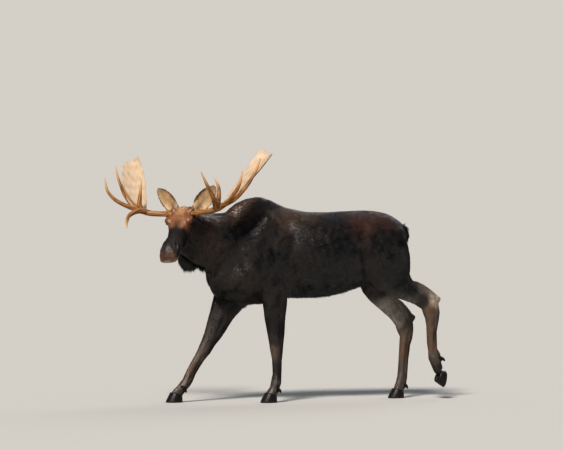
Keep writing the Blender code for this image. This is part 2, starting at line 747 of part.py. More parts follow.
def drop_crumbs(shape):
    """Leave only the largest of a bmesh's separate bodies."""
    left = set(shape.verts)
    bodies = []
    while left:
        body = {left.pop()}
        front = set(body)
        while front:
            near = {edge.other_vert(vert) for vert in front for edge in vert.link_edges}
            front = near & left
            left -= front
            body |= front
        bodies.append(body)
    bodies.sort(key=len)
    crumbs = [vert for body in bodies[:-1] for vert in body]
    bmesh.ops.delete(shape, geom=crumbs, context="VERTS")


def half(mesh, point, normal):
    """The part of a closed mesh on the side the normal points to, closed again."""
    shape = bmesh.new()
    shape.from_mesh(mesh)
    everything = [*shape.verts, *shape.edges, *shape.faces]
    cut = bmesh.ops.bisect_plane(
        shape, geom=everything, dist=1e-6, plane_co=point, plane_no=normal, clear_inner=True
    )
    edges = [e for e in cut["geom_cut"] if isinstance(e, bmesh.types.BMEdge) and e.is_boundary]
    bmesh.ops.triangle_fill(shape, edges=edges, use_beauty=True, use_dissolve=False)
    drop_crumbs(shape)
    bmesh.ops.recalc_face_normals(shape, faces=shape.faces)
    result = bpy.data.meshes.new("half")
    shape.to_mesh(result)
    shape.free()
    return result


def parted(mesh, point, normal):
    """The two halves of a mesh, in front of a plane and behind it, with a thin gap between."""
    point = Vector(point)
    normal = Vector(normal).normalized()
    step = normal * CUT_GAP / 2
    return half(mesh, point + step, normal), half(mesh, point - step, -normal)


def wedge(side, front, back, inner, top, slope, grow):
    """A block below a leg's cut: it reaches from inner outwards and front to back.

    Its top face passes through the point top (y, z) and slopes up outwards and backwards by
    slope. It is larger all round by grow.
    """
    y_mid, z_mid = top
    outward, backward = slope
    shape = bmesh.new()
    corners = []
    for x in (inner - grow, 0.6):
        for y in (front - grow, back + grow):
            height = z_mid + outward * (x - inner) + backward * (y - y_mid) + grow
            corners.append((shape.verts.new((side * x, y, -0.5)),
                            shape.verts.new((side * x, y, height))))
    (a, b), (c, d), (e, f), (g, h) = corners
    for face in ((a, b, d, c), (e, g, h, f), (a, e, f, b), (c, d, h, g), (a, c, g, e), (b, f, h, d)):
        shape.faces.new(face)
    bmesh.ops.recalc_face_normals(shape, faces=shape.faces)
    return shape


def boolean(mesh, cutter, operation):
    """The mesh cut by a closed cutter mesh."""
    obj = add_object("cut", mesh)
    tool = add_object("tool", cutter)
    modifier = obj.modifiers.new("Boolean", "BOOLEAN")
    modifier.operation = operation
    modifier.solver = "EXACT"
    modifier.object = tool
    result = evaluated(obj)
    bpy.data.objects.remove(tool)
    return result


def hull(mesh, count):
    """The convex hull of a mesh's first count vertices."""
    shape = bmesh.new()
    for vert in mesh.vertices[:count]:
        shape.verts.new(vert.co)
    made = bmesh.ops.convex_hull(shape, input=shape.verts)
    bmesh.ops.delete(shape, geom=made["geom_interior"], context="VERTS")
    return to_mesh(shape, "hull")


def swollen(mesh, amount):
    """A copy of the mesh whose every face stands at least amount outside the mesh's own."""
    shape = bmesh.new()
    shape.from_mesh(mesh)
    shape.normal_update()
    moves = []
    for vert in shape.verts:
        lean = min(vert.normal.dot(face.normal) for face in vert.link_faces)
        moves.append(vert.normal * (amount / max(lean, 0.4)))
    for vert, move in zip(shape.verts, moves):
        vert.co += move
    return to_mesh(shape, "swollen")


# For each leg: side, front, back, inner, top (y, z), slope outwards and backwards
LEG_CUTS = {
    "front_left": (1, -0.28, 0.185, 0.025, (0.0, 0.925), (0.50, 0.0)),
    "front_right": (-1, -1.20, 0.02, 0.025, (-0.30, 0.905), (0.45, 0.10)),
    "hind_left": (1, 0.80, 2.00, 0.020, (1.22, 1.130), (0.0, 0.66)),
    "hind_right": (-1, 0.80, 2.00, 0.020, (1.16, 1.070), (0.0, 0.37)),
}
JOINT_HEIGHTS = {
    "front_left": 0.50,
    "front_right": 0.50,
    "hind_left": 0.845,
    "hind_right": 0.655,
}
NECK_CUT = ((0, -0.42, 1.45), (0.05, -1.0, 0.35))
HEAD_CUT = ((0, -0.115, -0.12), (0.0, 1.0, 0.50))


def flesh_nodes():
    """The flesh, melted whole, thinned to suit each node, and parted."""
    body = melted([*trunk(), *neck()], TRUNK_VOXEL, 8)
    shape = bmesh.new()
    shape.from_mesh(body)
    whole = melted([shape, *head(), *legs()], FLESH_VOXEL, 4)
    coarse = thinned(whole, TRUNK_DETAIL)
    middle = thinned(whole, LEG_DETAIL)
    fine = thinned(whole, HEAD_DETAIL)
    nodes = {}
    rest = coarse
    trimmed = fine
    for name, (side, *sizes) in LEG_CUTS.items():
        inside = wedge(side, *sizes, -CUT_GAP / 2)
        leg = boolean(middle.copy(), to_mesh(inside, "wedge"), "INTERSECT")
        outside = to_mesh(wedge(side, *sizes, CUT_GAP / 2), "wedge")
        rest = boolean(rest, outside.copy(), "DIFFERENCE")
        trimmed = boolean(trimmed, outside, "DIFFERENCE")
        upper, lower = parted(leg, (0, 0, JOINT_HEIGHTS[name]), (0, 0, 1))
        nodes[f"leg_{name}_upper"] = upper
        nodes[f"leg_{name}_lower"] = parted(lower, *framed(CORONET, foot_matrix(name)))[0]
    front, nodes["trunk"] = parted(rest, *NECK_CUT)
    nape = framed(HEAD_CUT, head_matrix())
    nodes["neck"] = parted(front, *nape)[1]
    nodes["head"] = parted(parted(trimmed, *NECK_CUT)[0], *nape)[0]
    return nodes


def seat(nodes, names, solid):
    """Cut a socket for a solid, with a thin gap, in each of the named nodes."""
    for name in names:
        cutter = swollen(solid, CUT_GAP)
        nodes[name] = boolean(nodes[name], cutter, "DIFFERENCE")


# ---------------------------------------------------------------- build


def recentre():
    """Move everything so that the origin is on the floor, under the middle of the whole."""
    corners = np.array([v.co for obj in bpy.data.objects for v in obj.data.vertices])
    middle = (corners.min(axis=0) + corners.max(axis=0)) / 2
    for obj in bpy.data.objects:
        obj.data.transform(Matrix.Translation((-middle[0], -middle[1], 0)))


def main():
    """Make every node, each as one object of its node's name."""
    clear_scene()
    nodes = flesh_nodes()
    others = {}
    for name, side in (("left", 1), ("right", -1)):
        flip = Matrix.Diagonal((side, 1, 1, 1))
        pieces = antler(name, side)
        seat(nodes, ["head"], pieces[f"antler_{name}_beam"])
        others.update(pieces)
        others[f"ear_{name}"] = to_mesh(ear(antler_matrix(side)), "ear")
        seat(nodes, ["head", "neck"], hull(others[f"ear_{name}"], EAR_ROOT_VERTICES))
        others[f"eye_{name}"] = to_mesh(eye(head_matrix() @ flip), "eye")
        seat(nodes, ["head"], others[f"eye_{name}"])
    others["tail"] = to_mesh(loft(TAIL, (0, 1, 0.3), sides=10, steps=1), "tail")
    seat(nodes, ["trunk"], others["tail"])
    others["bell"] = to_mesh(loft(BELL, (0, 1, 0), sides=14, steps=1), "bell")
    seat(nodes, ["head", "neck"], others["bell"])
    hooves, dewclaws = feet()
    for name, solid in dewclaws.items():
        leg = "_".join(name.split("_")[1:3])
        seat(nodes, [f"leg_{leg}_lower"], solid)
    for name, mesh in {**nodes, **others, **hooves, **dewclaws}.items():
        obj = add_object(name, mesh)
        obj.data.materials.append(material(name, FINISHES.get(name.split("_")[0], "coat")))
    recentre()


main()
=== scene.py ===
"""A bull moose in mid-stride: its skin, coat, head, antlers and hooves, on a plain studio floor."""

import math

import bmesh
import bpy
import numpy as np
from mathutils import Matrix, Vector


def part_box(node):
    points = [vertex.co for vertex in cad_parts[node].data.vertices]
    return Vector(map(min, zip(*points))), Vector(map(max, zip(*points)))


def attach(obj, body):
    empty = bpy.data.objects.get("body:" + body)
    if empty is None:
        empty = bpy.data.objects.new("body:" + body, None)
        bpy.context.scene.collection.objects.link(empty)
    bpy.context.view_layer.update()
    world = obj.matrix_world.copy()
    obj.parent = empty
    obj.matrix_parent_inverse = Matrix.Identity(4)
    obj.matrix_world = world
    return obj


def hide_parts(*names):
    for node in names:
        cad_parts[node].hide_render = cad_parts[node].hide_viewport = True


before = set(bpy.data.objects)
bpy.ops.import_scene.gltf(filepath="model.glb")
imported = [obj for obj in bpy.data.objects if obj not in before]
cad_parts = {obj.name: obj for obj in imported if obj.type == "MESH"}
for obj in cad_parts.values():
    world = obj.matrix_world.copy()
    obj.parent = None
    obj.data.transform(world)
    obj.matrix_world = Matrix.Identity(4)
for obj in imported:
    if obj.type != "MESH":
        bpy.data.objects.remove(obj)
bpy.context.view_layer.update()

# ------------------------------------------------------------------ lie of the coat
# The real coat is one hide of short guard hair that runs from the nose to the tail and down the
# legs. Its length, its lie and its colour change slowly from place to place, so each is told
# at a few named places and read in between by nearness.

# Places on the body are measured from the floor under the elbow, on the midline. The low corner
# of one forehoof's box stands this far from there.
HOOF_CORNER = np.array([0.171, -0.1316, 0.0])
ELBOW = np.array(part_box("hoof_front_left_outer")[0]) - HOOF_CORNER

# The hair's colours, each named for its look or for the place where it is purest
SABLE = "#1d1816"
FLANK = "#131110"
HUMP = "#54463a"
NECK = "#453226"
RUST = "#44291e"
BELLY = "#0d0c0b"
BELL = "#0b0908"
RUSSET = "#8f6346"
UMBER = "#5e402e"
BROW = "#b18a66"
BRIDGE = "#1f1b19"
MUZZLE = "#2f2b29"
NOSE = "#6b4c3b"
LIP = "#a58d7c"
SHANK = "#1b1817"
SHIN = "#332b27"
ASH = "#5a5048"
KNEE = "#6a5c53"
CANNON = "#6c5646"
HOCK = "#a6978a"
GASKIN = "#b5aaa0"

# Each guide: its place as three numbers, the way the hair lies as three more, the hair's length
# in mm and its colour. Body and leg places are in cm: x to the left, y backward, z up.
BODY_GUIDES = (
    (0, -13, 189, 0, 20, -1, 62, HUMP), (10, -2, 180, 0, 18, -7, 52, HUMP),
    (0, 10, 183, 0, 10, -1, 50, HUMP), (5, -45, 178, -3, 20, -3, 66, NECK),
    (13, -72, 174, -5, 20, -1, 52, NECK), (21, -45, 155, 0, 17, -10, 46, SABLE),
    (24, -45, 135, 0, 7, -7, 44, SABLE), (0, -58, 125, 0, 5, -9, 60, BELLY),
    (0, -45, 98, 0, 9, -4, 56, BELLY), (0, -20, 91, 0, 1, 0, 52, BELLY),
    (24, -16, 155, 0, 13, -15, 36, SABLE), (28, -5, 130, 0, 9, -18, 34, FLANK),
    (25, -10, 110, 0, 1, -4, 36, SABLE), (30, 25, 145, 0, 19, -6, 38, SABLE),
    (30, 30, 115, 0, 9, -4, 40, SABLE), (33, 60, 140, 0, 97, -25, 38, FLANK),
    (29, 65, 114, 0, 19, -6, 42, SABLE), (15, 35, 98, 0, 10, -1, 50, BELLY),
    (0, 55, 96.5, 0, 1, 0, 54, BELLY), (0, 90, 106, 0, 5, 1, 44, BELLY),
    (0, 45, 176.5, 0, 1, 0, 44, HUMP), (18, 55, 170, 0, 5, -1, 38, SABLE),
    (0, 85, 178.5, 0, 1, 0, 40, SABLE), (17, 86, 169, 0, 19, -6, 34, RUST),
    (10, 108, 175, 0, 19, -6, 34, RUST), (0, 120, 175, 0, 9, -4, 36, SABLE),
    (24, 105, 148, 0, 7, -7, 34, SABLE), (24, 115, 125, 0, 3, -4, 34, FLANK),
    (12, 137, 145, 0, 3, -20, 40, BELLY), (10, 136, 122, 0, 6, -19, 42, BELLY),
    (24, 93, 114, 0, 12, -15, 38, SABLE), (0, 142, 157, 0, 1, -10, 46, BELLY),
    (0, -80, 143, 0, 1, -10, 55, BELL), (0, -80, 132, 0, 1, -20, 70, BELL),
    (0, -80, 122, 0, 0, -1, 70, BELL),
)
LEG_GUIDES = (
    (23, 2, 90, 0, 1, -10, 30, SABLE), (23, 2, 70, 0, 1, -20, 22, SHANK),
    (22, 1, 56, 0, 0, -1, 18, SHIN), (21, -3, 47, 0, 0, -1, 16, KNEE),
    (17, 9, 47, 0, 0, -1, 17, SHANK), (21, 0, 30, 0, 0, -1, 15, SHIN),
    (17, 8, 28, 0, 0, -1, 16, SHANK), (21, -1, 15, 0, -3, -10, 20, ASH),
    (-23, -33, 90, 0, -4, -9, 32, SABLE), (-10, -40, 78, 0, -45, -88, 26, SHIN),
    (-17, -56, 66, 0, -10, -17, 22, ASH), (-17, -36, 66, 0, -10, -17, 24, SHANK),
    (-23, -47, 64, 0, -10, -17, 23, SHANK), (-17, -60, 50, 0, -4, -9, 18, KNEE),
    (-17, -47, 47, 0, -4, -9, 18, SHANK), (-17, -71, 31, 0, -55, -83, 15, CANNON),
    (-17, -63, 27, 0, -55, -83, 16, SHANK), (-17, -78, 16, 0, -3, -4, 20, ASH),
    (22, 122, 112, 0, 7, -7, 30, FLANK), (22, 136, 104, 0, 17, -11, 25, SHANK),
    (20, 148, 93, 0, 4, -3, 22, SHIN), (19, 161, 93, 0, 3, -4, 18, HOCK),
    (19, 156, 83, 0, 1, -5, 18, CANNON), (19, 164, 76, 0, 0, -1, 16, ASH),
    (19, 156, 66, 0, 0, -1, 16, CANNON), (15, 164, 62, 0, 0, -1, 16, SHIN),
    (19, 157, 50, 0, 0, -1, 15, CANNON), (19, 162, 40, 0, 1, -5, 18, ASH),
    (19, 166, 29, 0, 4, -9, 19, SHIN), (15.2, 170, 23.5, 0, 15, -13, 32, SHANK),
    (-23, 114, 105, 0, 9, -18, 30, FLANK), (-21, 128, 90, 0, 13, -15, 25, SHANK),
    (-20, 143, 70, 0, 1, -5, 19, ASH), (-19, 141, 48, 0, -1, -10, 15, CANNON),
    (-19, 141, 27, 0, -1, -20, 15, ASH), (-19, 137, 14, 0, -4, -9, 20, ASH),
    (-7, 112, 104, 0, 3, -4, 28, SHIN), (-9, 124, 88, 0, 3, -4, 24, GASKIN),
    (-9, 136, 76, 0, 13, -15, 22, GASKIN), (-10, 143, 64, 0, 1, -10, 17, KNEE),
    (-10, 142, 45, 0, 0, -1, 16, CANNON), (-10, 140, 25, 0, 0, -1, 16, ASH),
    (-15, 148, 45, 0, 0, -1, 16, SHIN), (8, 138, 99, 0, 17, -11, 24, GASKIN),
)
# Head places are in mm: x to its left, y from the brow to the nose, z out of the brow.
HEAD_GUIDES = (
    (0, 545, -20, 0, -1, 0, 9, MUZZLE), (0, 588, -70, 0, -5, 2, 9, NOSE),
    (0, 490, -5, 0, -1, 0, 12, MUZZLE), (0, 420, -10, 0, -1, 0, 13, MUZZLE),
    (0, 340, -10, 0, -1, 0, 14, MUZZLE), (0, 245, -20, 0, -1, 0, 16, BRIDGE),
    (40, 280, -20, 0, -1, 0, 16, BRIDGE), (0, 195, -10, 0, -1, 0, 17, UMBER),
    (0, 120, 0, 0, -1, 0, 18, RUSSET), (0, 50, 0, 0, -1, 0, 26, BROW),
    (0, -30, 0, 0, -1, 0, 34, BROW), (0, -100, -50, 0, -5, -1, 42, NECK),
    (60, 120, -10, 1, -5, 0, 16, RUSSET), (50, 190, -20, 1, -10, 0, 16, RUSSET),
    (70, 250, -50, 0, -10, -1, 15, BRIDGE), (100, 50, -20, 1, -5, 0, 20, RUSSET),
    (110, 190, -50, 0, -10, -1, 15, RUSSET), (120, 100, -100, 0, -10, -1, 16, BRIDGE),
    (90, 270, -100, 0, -20, -3, 16, BRIDGE), (120, 10, -70, 0, -5, -1, 20, SABLE),
    (120, 100, -170, 0, -9, -4, 20, SABLE), (80, 200, -200, 0, -5, -1, 22, SABLE),
    (50, 120, -280, 0, -10, -3, 38, BELL), (0, 250, -250, 0, -5, -2, 40, BELL),
    (0, 400, -200, 0, -5, -2, 26, BELL), (80, 360, -100, 0, -10, -1, 13, BRIDGE),
    (90, 440, -100, 0, -10, -1, 12, MUZZLE), (90, 510, -100, 0, -9, -3, 11, MUZZLE),
    (50, 575, -90, 0, 1, -5, 10, NOSE), (60, 560, -150, 1, 1, -10, 11, LIP),
    (0, 580, -130, 0, 1, -10, 11, LIP), (50, 460, -180, 0, -8, -5, 16, BELL),
)

# The head's place and turn, and the level frame on its brow that ears and antlers stand in
HEAD_AT = np.array([0.20, -0.905, 1.775])
HEAD_YAW = math.radians(50)
HEAD_PITCH = math.radians(42)
HEAD_ROLL = math.radians(2)
BROW_BASE = (0, 0.01, -0.030)


def brow_turn():
    """The head's turn and roll without its pitch, with y forward and x to its left."""
    turn = Matrix.Rotation(HEAD_YAW, 4, "Z") @ Matrix.Rotation(-HEAD_ROLL, 4, "Y")
    return turn @ Matrix.Diagonal((1, -1, 1, 1))


HEAD_FRAME = (
    Matrix.Translation(HEAD_AT + ELBOW) @ brow_turn() @ Matrix.Rotation(-HEAD_PITCH, 4, "X")
)
BROW_FRAME = Matrix.Translation(HEAD_FRAME @ Vector(BROW_BASE)) @ brow_turn()


def carried(matrix, points):
    """Points times a 4 by 4 matrix, as arrays."""
    matrix = np.array(matrix)
    return points @ matrix[:3, :3].T + matrix[:3, 3]


def on_head(points):
    """Points measured in the head's frame."""
    return carried(HEAD_FRAME.inverted(), points)


def linear(hex_colour):
    """sRGB hex to linear red, green and blue."""
    value = np.array([int(hex_colour[i : i + 2], 16) for i in (1, 3, 5)]) / 255
    return np.where(value <= 0.04045, value / 12.92, ((value + 0.055) / 1.055) ** 2.4)


KINDS = ("body", "mane", "legs", "head")
MANE_END = -12
GUIDE_BLUR = 0.02
BATCH = 20000
# Smooth noise is a sum of that many sines, over the height that they seldom pass together
SINES = 7
SINES_PEAK = 3.2


def guide_table():
    """All guides in the row frame: place, way, length in metres, colour and kind, side by side.

    A guide off the midline stands for both sides, but not on the legs, as each is posed apart.
    """
    rows = []
    still = Matrix.Translation(ELBOW)
    for word, guides, unit, matrix in (
        ("body", BODY_GUIDES, 100, still),
        ("legs", LEG_GUIDES, 100, still),
        ("head", HEAD_GUIDES, 1000, HEAD_FRAME),
    ):
        turn = np.array(matrix)[:3, :3]
        for *values, length, colour in guides:
            place = np.array(values[:3])
            lie = np.array(values[3:])
            kind = "mane" if word == "body" and place[1] < MANE_END else word
            flags = [float(kind == other) for other in KINDS]
            for side in (1, -1) if place[0] > 0 and word != "legs" else (1,):
                spot = carried(matrix, place[None] / unit * [side, 1, 1])[0]
                way = turn @ (lie * [side, 1, 1])
                way /= np.linalg.norm(way)
                rows.append([*spot, *way, length / 1000, *linear(colour), *flags])
    return np.array(rows)


GUIDES = guide_table()


def gaps(points, rows):
    """Squares of the distances of points from rows, for a batch of the points at a time."""
    for start in range(0, len(points), BATCH):
        yield ((points[start : start + BATCH, None] - rows[None]) ** 2).sum(axis=2)


def told(points):
    """Lie, length, colour and kind at points: the guides', by one over distance to the fourth."""
    weights = ((gap + GUIDE_BLUR**2) ** -2 for gap in gaps(points, GUIDES[:, :3]))
    rows = np.concatenate([weight @ GUIDES[:, 3:] / weight.sum(axis=1, keepdims=True)
                           for weight in weights])
    return rows[:, :3], rows[:, 3], rows[:, 4:7], rows[:, 7:].argmax(axis=1)


def rowing(points, size, seed):
    """Smooth noise from -1 to 1: sums of sines of that wavelength in seeded random directions."""
    dice = np.random.default_rng(seed)
    total = np.zeros(len(points))
    for _ in range(SINES):
        way = dice.normal(size=3)
        way *= 2 * math.pi / (size * dice.uniform(0.7, 1.5) * np.linalg.norm(way))
        total += np.sin(points @ way + dice.uniform(0, 2 * math.pi))
    return np.clip(total / SINES_PEAK, -1, 1)


def ramp(value, low, high):
    """0 below low, 1 above high, and a smooth step between."""
    part = np.clip((value - low) / (high - low), 0, 1)
    return part * part * (3 - 2 * part)


def window(value, low, high, end, past):
    """0 below low, 1 from high to end, 0 past the last, with smooth steps between."""
    return ramp(value, low, high) * (1 - ramp(value, end, past))


def hump(value):
    """A bell-shaped curve: e to the minus square of the value, so 1 at its middle."""
    return np.exp(-(value**2))


def mixed(first, second, share):
    """The first, with that share of it turned into the second."""
    return first * (1 - share) + second * share


def near(points, margin, *nodes):
    """Whether each point lies in the box of any of those CAD nodes, grown by a margin."""
    inside = np.zeros(len(points), bool)
    for name in nodes:
        low, high = (np.array(corner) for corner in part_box(name))
        inside |= ((points > low - margin) & (points < high + margin)).all(axis=1)
    return inside


def squared(way, other):
    """A way made one long, and another made one long and turned square to it."""
    way = np.array(way) / np.linalg.norm(way)
    other = other - way * (way @ other)
    return way, other / np.linalg.norm(other)


# The ears stand on the brow and face forward and outward. Inside they are cream, darkened by
# painted shade in the hollow near the root; outside and at the tip they are buff.
EAR_AT = np.array([0.084, -0.086, -0.004])
EAR_ALONG, EAR_FACING = squared([0.67, -0.05, 0.74], [0.30, 0.90, 0.0])
EAR_HAIR = 0.008
EAR_CREAM = linear("#c6a883")
EAR_RIM = linear("#a08a6c")
EAR_BACK = linear("#8f7b62")
EAR_HOLLOW_SHADE = linear("#4a3c30")
# The painted shade in the ear's hollow: its middle along the ear, and its half width and half
# length
HOLLOW_AT = 0.06
HOLLOW_HALF = (0.020, 0.065)


def ear_place(points, side):
    """How far along and across an ear points are, how much of it, and that ear's turn."""
    place = BROW_FRAME @ Matrix.Diagonal((side, 1, 1, 1))
    local = carried(place.inverted(), points) - EAR_AT
    along = local @ EAR_ALONG
    across = local @ np.cross(EAR_ALONG, EAR_FACING)
    away = np.linalg.norm(local - along[:, None] * EAR_ALONG, axis=1)
    part = ramp(along, 0.015, 0.05) * (away < 0.10)
    return along, across, part, np.array(place)[:3, :3]


def ear_share(points):
    """How much points belong to either ear."""
    return ear_place(points, 1)[2] + ear_place(points, -1)[2]


# The bell's hide ends above its hair's tips, and its hair hangs straight down.
BELL_TOP = 1.42
BELL_HAIR = 0.062
BELL_SHARE = 0.80
BELL_WAY = np.array([0, 0.08, -1])


def hanging(points):
    """How much points belong to the bell: all in its box, less towards its top."""
    return near(points, 0.012, "bell") * (1 - ramp(points[:, 2], BELL_TOP, BELL_TOP + 0.05))


# The mouth's line from its corner to the front, backward and down in the head's frame
MOUTH = np.array([
    [0.325, -0.136], [0.400, -0.146], [0.470, -0.148], [0.530, -0.143], [0.600, -0.138],
])
MOUTH_BACK = 0.30
LIP_DEPTH = 0.010
LIP_WIDTH = 0.0065
LIP_BAND = 0.011


def lip_line(there):
    """Height over the mouth's line, in the head's frame, and how far forward of its corner."""
    over = there[:, 2] - np.interp(there[:, 1], MOUTH[:, 0], MOUTH[:, 1])
    return over, ramp(there[:, 1], MOUTH_BACK, 0.40)


def dressed(points, normals):
    """Lie, hair length, colour and kind: the guides' values, with those of the ears over them,
    then the bell's hanging hair, the pale lips and the black chin below the mouth's line.
    """
    lie, length, colour, kind = told(points)
    for side in (1, -1):
        along, across, part, turn = ear_place(points, side)
        inside = ramp(normals @ (turn @ EAR_FACING), -0.6, 0.0)[:, None]
        tip = ramp(along, 0.20, 0.30)[:, None]
        tone = mixed(mixed(EAR_BACK, EAR_CREAM, inside), EAR_RIM, tip * 0.6)
        # Painted shade: inside the ear, the hollow near the root is darkened where shade falls in
        # it.
        painted_ear_shade = hump(across / HOLLOW_HALF[0]) * hump((along - HOLLOW_AT) / HOLLOW_HALF[1])
        tone = mixed(tone, EAR_HOLLOW_SHADE, painted_ear_shade[:, None] * inside * 0.75)
        colour = mixed(colour, tone, part[:, None])
        lie = mixed(lie, turn @ EAR_ALONG, part[:, None])
        length = mixed(length, EAR_HAIR, part)
        kind = np.where(part > 0.5, KINDS.index("head"), kind)
    hung = hanging(points)
    lie = mixed(lie, BELL_WAY, hung[:, None])
    length = mixed(length, BELL_HAIR, hung)
    over, forward = lip_line(on_head(points))
    forward = forward * near(points, 0.0, "head")
    pale = forward * hump((over - LIP_BAND) / LIP_BAND) * 0.8
    under = forward * (1 - ramp(over, -0.012, 0.0))
    colour = mixed(colour, linear(LIP), pale[:, None])
    colour = mixed(colour, linear(BELL), under[:, None])
    return lie, length, colour, kind


# ------------------------------------------------------------------ skin
# The hide itself, a single surface over head, neck, trunk, tail, ears and legs. It lies under
# the hair by the coat's depth, and carries the face's folds, nostrils, lips and lid rims.

FLESH = ["head", "neck", "bell", "trunk", "tail", "ear_left", "ear_right"]
FLESH += [f"leg_{end}_{side}_{part}" for end in ("front", "hind")
          for side in ("left", "right") for part in ("upper", "lower")]
SKIN_VOXEL = 0.0062
SKIN_TRIANGLES = 184000
SAME_SPOT = 1e-6
FACE_THINNING = 0.12


def merged(mesh, target, turned=True):
    """The target mesh made the first, with doubles merged and, where asked, faces outward."""
    shape = bmesh.new()
    shape.from_mesh(mesh)
    bmesh.ops.remove_doubles(shape, verts=shape.verts, dist=SAME_SPOT)
    if turned:
        bmesh.ops.recalc_face_normals(shape, faces=shape.faces)
    shape.to_mesh(target)
    shape.free()
    return target


def plain_copy(name):
    """A copy of a CAD node's mesh, with its doubles merged."""
    return merged(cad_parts[name].data, bpy.data.meshes.new(name), turned=False)


def read(items, word, width=3, kind=float):
    """One property of every item of a mesh, as rows of that width."""
    values = np.empty(len(items) * width, kind)
    items.foreach_get(word, values)
    return values.reshape(-1, width)


def numbers(mesh):
    """Vertices and triangles of a mesh, as arrays."""
    mesh.calc_loop_triangles()
    return read(mesh.vertices, "co"), read(mesh.loop_triangles, "vertices", 3, int)


def edge_pairs(mesh):
    """The two vertices of each edge of a mesh, as an array."""
    return read(mesh.edges, "vertices", 2, int)


def outward(mesh, points):
    """Vertex normals of the mesh with its vertices at points."""
    mesh.vertices.foreach_set("co", points.ravel())
    mesh.update()
    return read(mesh.vertices, "normal")


def new_mesh(points, *face_sets):
    """A mesh from points and one or more arrays of faces."""
    mesh = bpy.data.meshes.new("mesh")
    mesh.from_pydata(points.tolist(), [], [face for faces in face_sets for face in faces.tolist()])
    return mesh


def placed(name, data):
    """An object of that name in the scene, with a mesh, lamp or camera as its data."""
    obj = bpy.data.objects.new(name, data)
    bpy.context.scene.collection.objects.link(obj)
    return obj


def settled(obj):
    """The object's modifiers applied to its mesh."""
    bpy.context.view_layer.update()
    graph = bpy.context.evaluated_depsgraph_get()
    mesh = bpy.data.meshes.new_from_object(obj.evaluated_get(graph))
    obj.modifiers.clear()
    obj.data = mesh
    return obj


def melted(name, meshes, voxel):
    """One object whose surface wraps all the meshes, remeshed with that voxel size."""
    points = []
    faces = []
    count = 0
    for mesh in meshes:
        some, tris = numbers(mesh)
        points.append(some)
        faces.append(tris + count)
        count += len(some)
    obj = placed(name, new_mesh(np.concatenate(points), *faces))
    remesh = obj.modifiers.new("Remesh", "REMESH")
    remesh.mode = "VOXEL"
    remesh.voxel_size = voxel
    return settled(obj)


def thinned(obj, ratio, group=""):
    """The object's faces brought down to that share of them, most where the group is full."""
    thin = obj.modifiers.new("Decimate", "DECIMATE")
    thin.vertex_group = group
    thin.ratio = ratio
    return settled(obj)


def eased(rows, pairs, weight, rounds):
    """Each round moves every vertex's row by weight towards the mean of its neighbours' rows."""
    count = len(rows)
    ends = np.concatenate([pairs[:, 0], pairs[:, 1]])
    others = np.concatenate([pairs[:, 1], pairs[:, 0]])
    share = 1 / np.bincount(ends, minlength=count)
    weight = np.broadcast_to(weight, count)
    for _ in range(rounds):
        mean = np.stack([np.bincount(ends, column[others], count) * share for column in rows.T],
                        axis=1)
        rows = rows + (mean - rows) * weight[:, None]
    return rows


def steadied(points, pairs, rounds):
    """Points eased in and then out by a little more, so that steps go and the shape stays."""
    for _ in range(rounds):
        points = eased(points, pairs, 0.5, 1)
        points = eased(points, pairs, -0.52, 1)
    return points


# Places on the head, in its frame, on the left side
EYE_AT = np.array([0.114, 0.112, -0.062])
EYE_RADIUS = 0.023
NOSTRIL_AT = np.array([0.066, 0.462, -0.052])
NOSTRIL_ALONG = np.array([0.10, 0.78, -0.62])
NOSTRIL_ACROSS = np.array([-0.35, 0.60, 0.72])
NOSTRIL_HALF = (0.030, 0.0125)
NOSTRIL_DEPTH = 0.024
TEAR_AT = EYE_AT + np.array([-0.012, 0.042, -0.012])
# Heights of the face's folds: the nostril's rim, how far the jaw and the chin's tip are drawn in,
# the swelling over the lip, the ring round the eye and what the brow adds to it, the tear's
# hollow, and the nose's hump and the dip behind it
NOSTRIL_RIM = 0.004
JAW_IN = 0.011
CHIN_IN = 0.022
LIP_SWELL = 0.005
EYE_RING_UP = 0.004
BROW_UP = 0.005
TEAR_DEPTH = 0.005
NOSE_HUMP = 0.010
NOSE_DIP = 0.006


def folded(places):
    """Places with those on the right side brought over to the left."""
    return np.abs(places) * [1, 0, 0] + places * [0, 1, 1]


def line_gap(points, line):
    """Distance of points on a plane from an open line through corners, 1 m at the most."""
    best = np.full(len(points), 1.0)
    for start, end in zip(line, line[1:]):
        way = end - start
        share = np.clip(((points - start) @ way) / (way @ way), 0, 1)
        best = np.minimum(best, np.linalg.norm(points - start - share[:, None] * way, axis=1))
    return best


def mouth_gap(there):
    """Distance from the mouth's line, seen from the side; past a metre behind its corner."""
    return line_gap(there[:, 1:], MOUTH) + (there[:, 1] < MOUTH_BACK)


def nostril_ring(places):
    """1 on the nostril's oval edge, less inside it; in the head's frame, for either side."""
    rel = folded(places) - NOSTRIL_AT
    along = rel @ NOSTRIL_ALONG / NOSTRIL_HALF[0]
    across = rel @ NOSTRIL_ACROSS / NOSTRIL_HALF[1]
    far = np.linalg.norm(rel, axis=1) > 0.07
    return np.hypot(along, across) + 9 * far


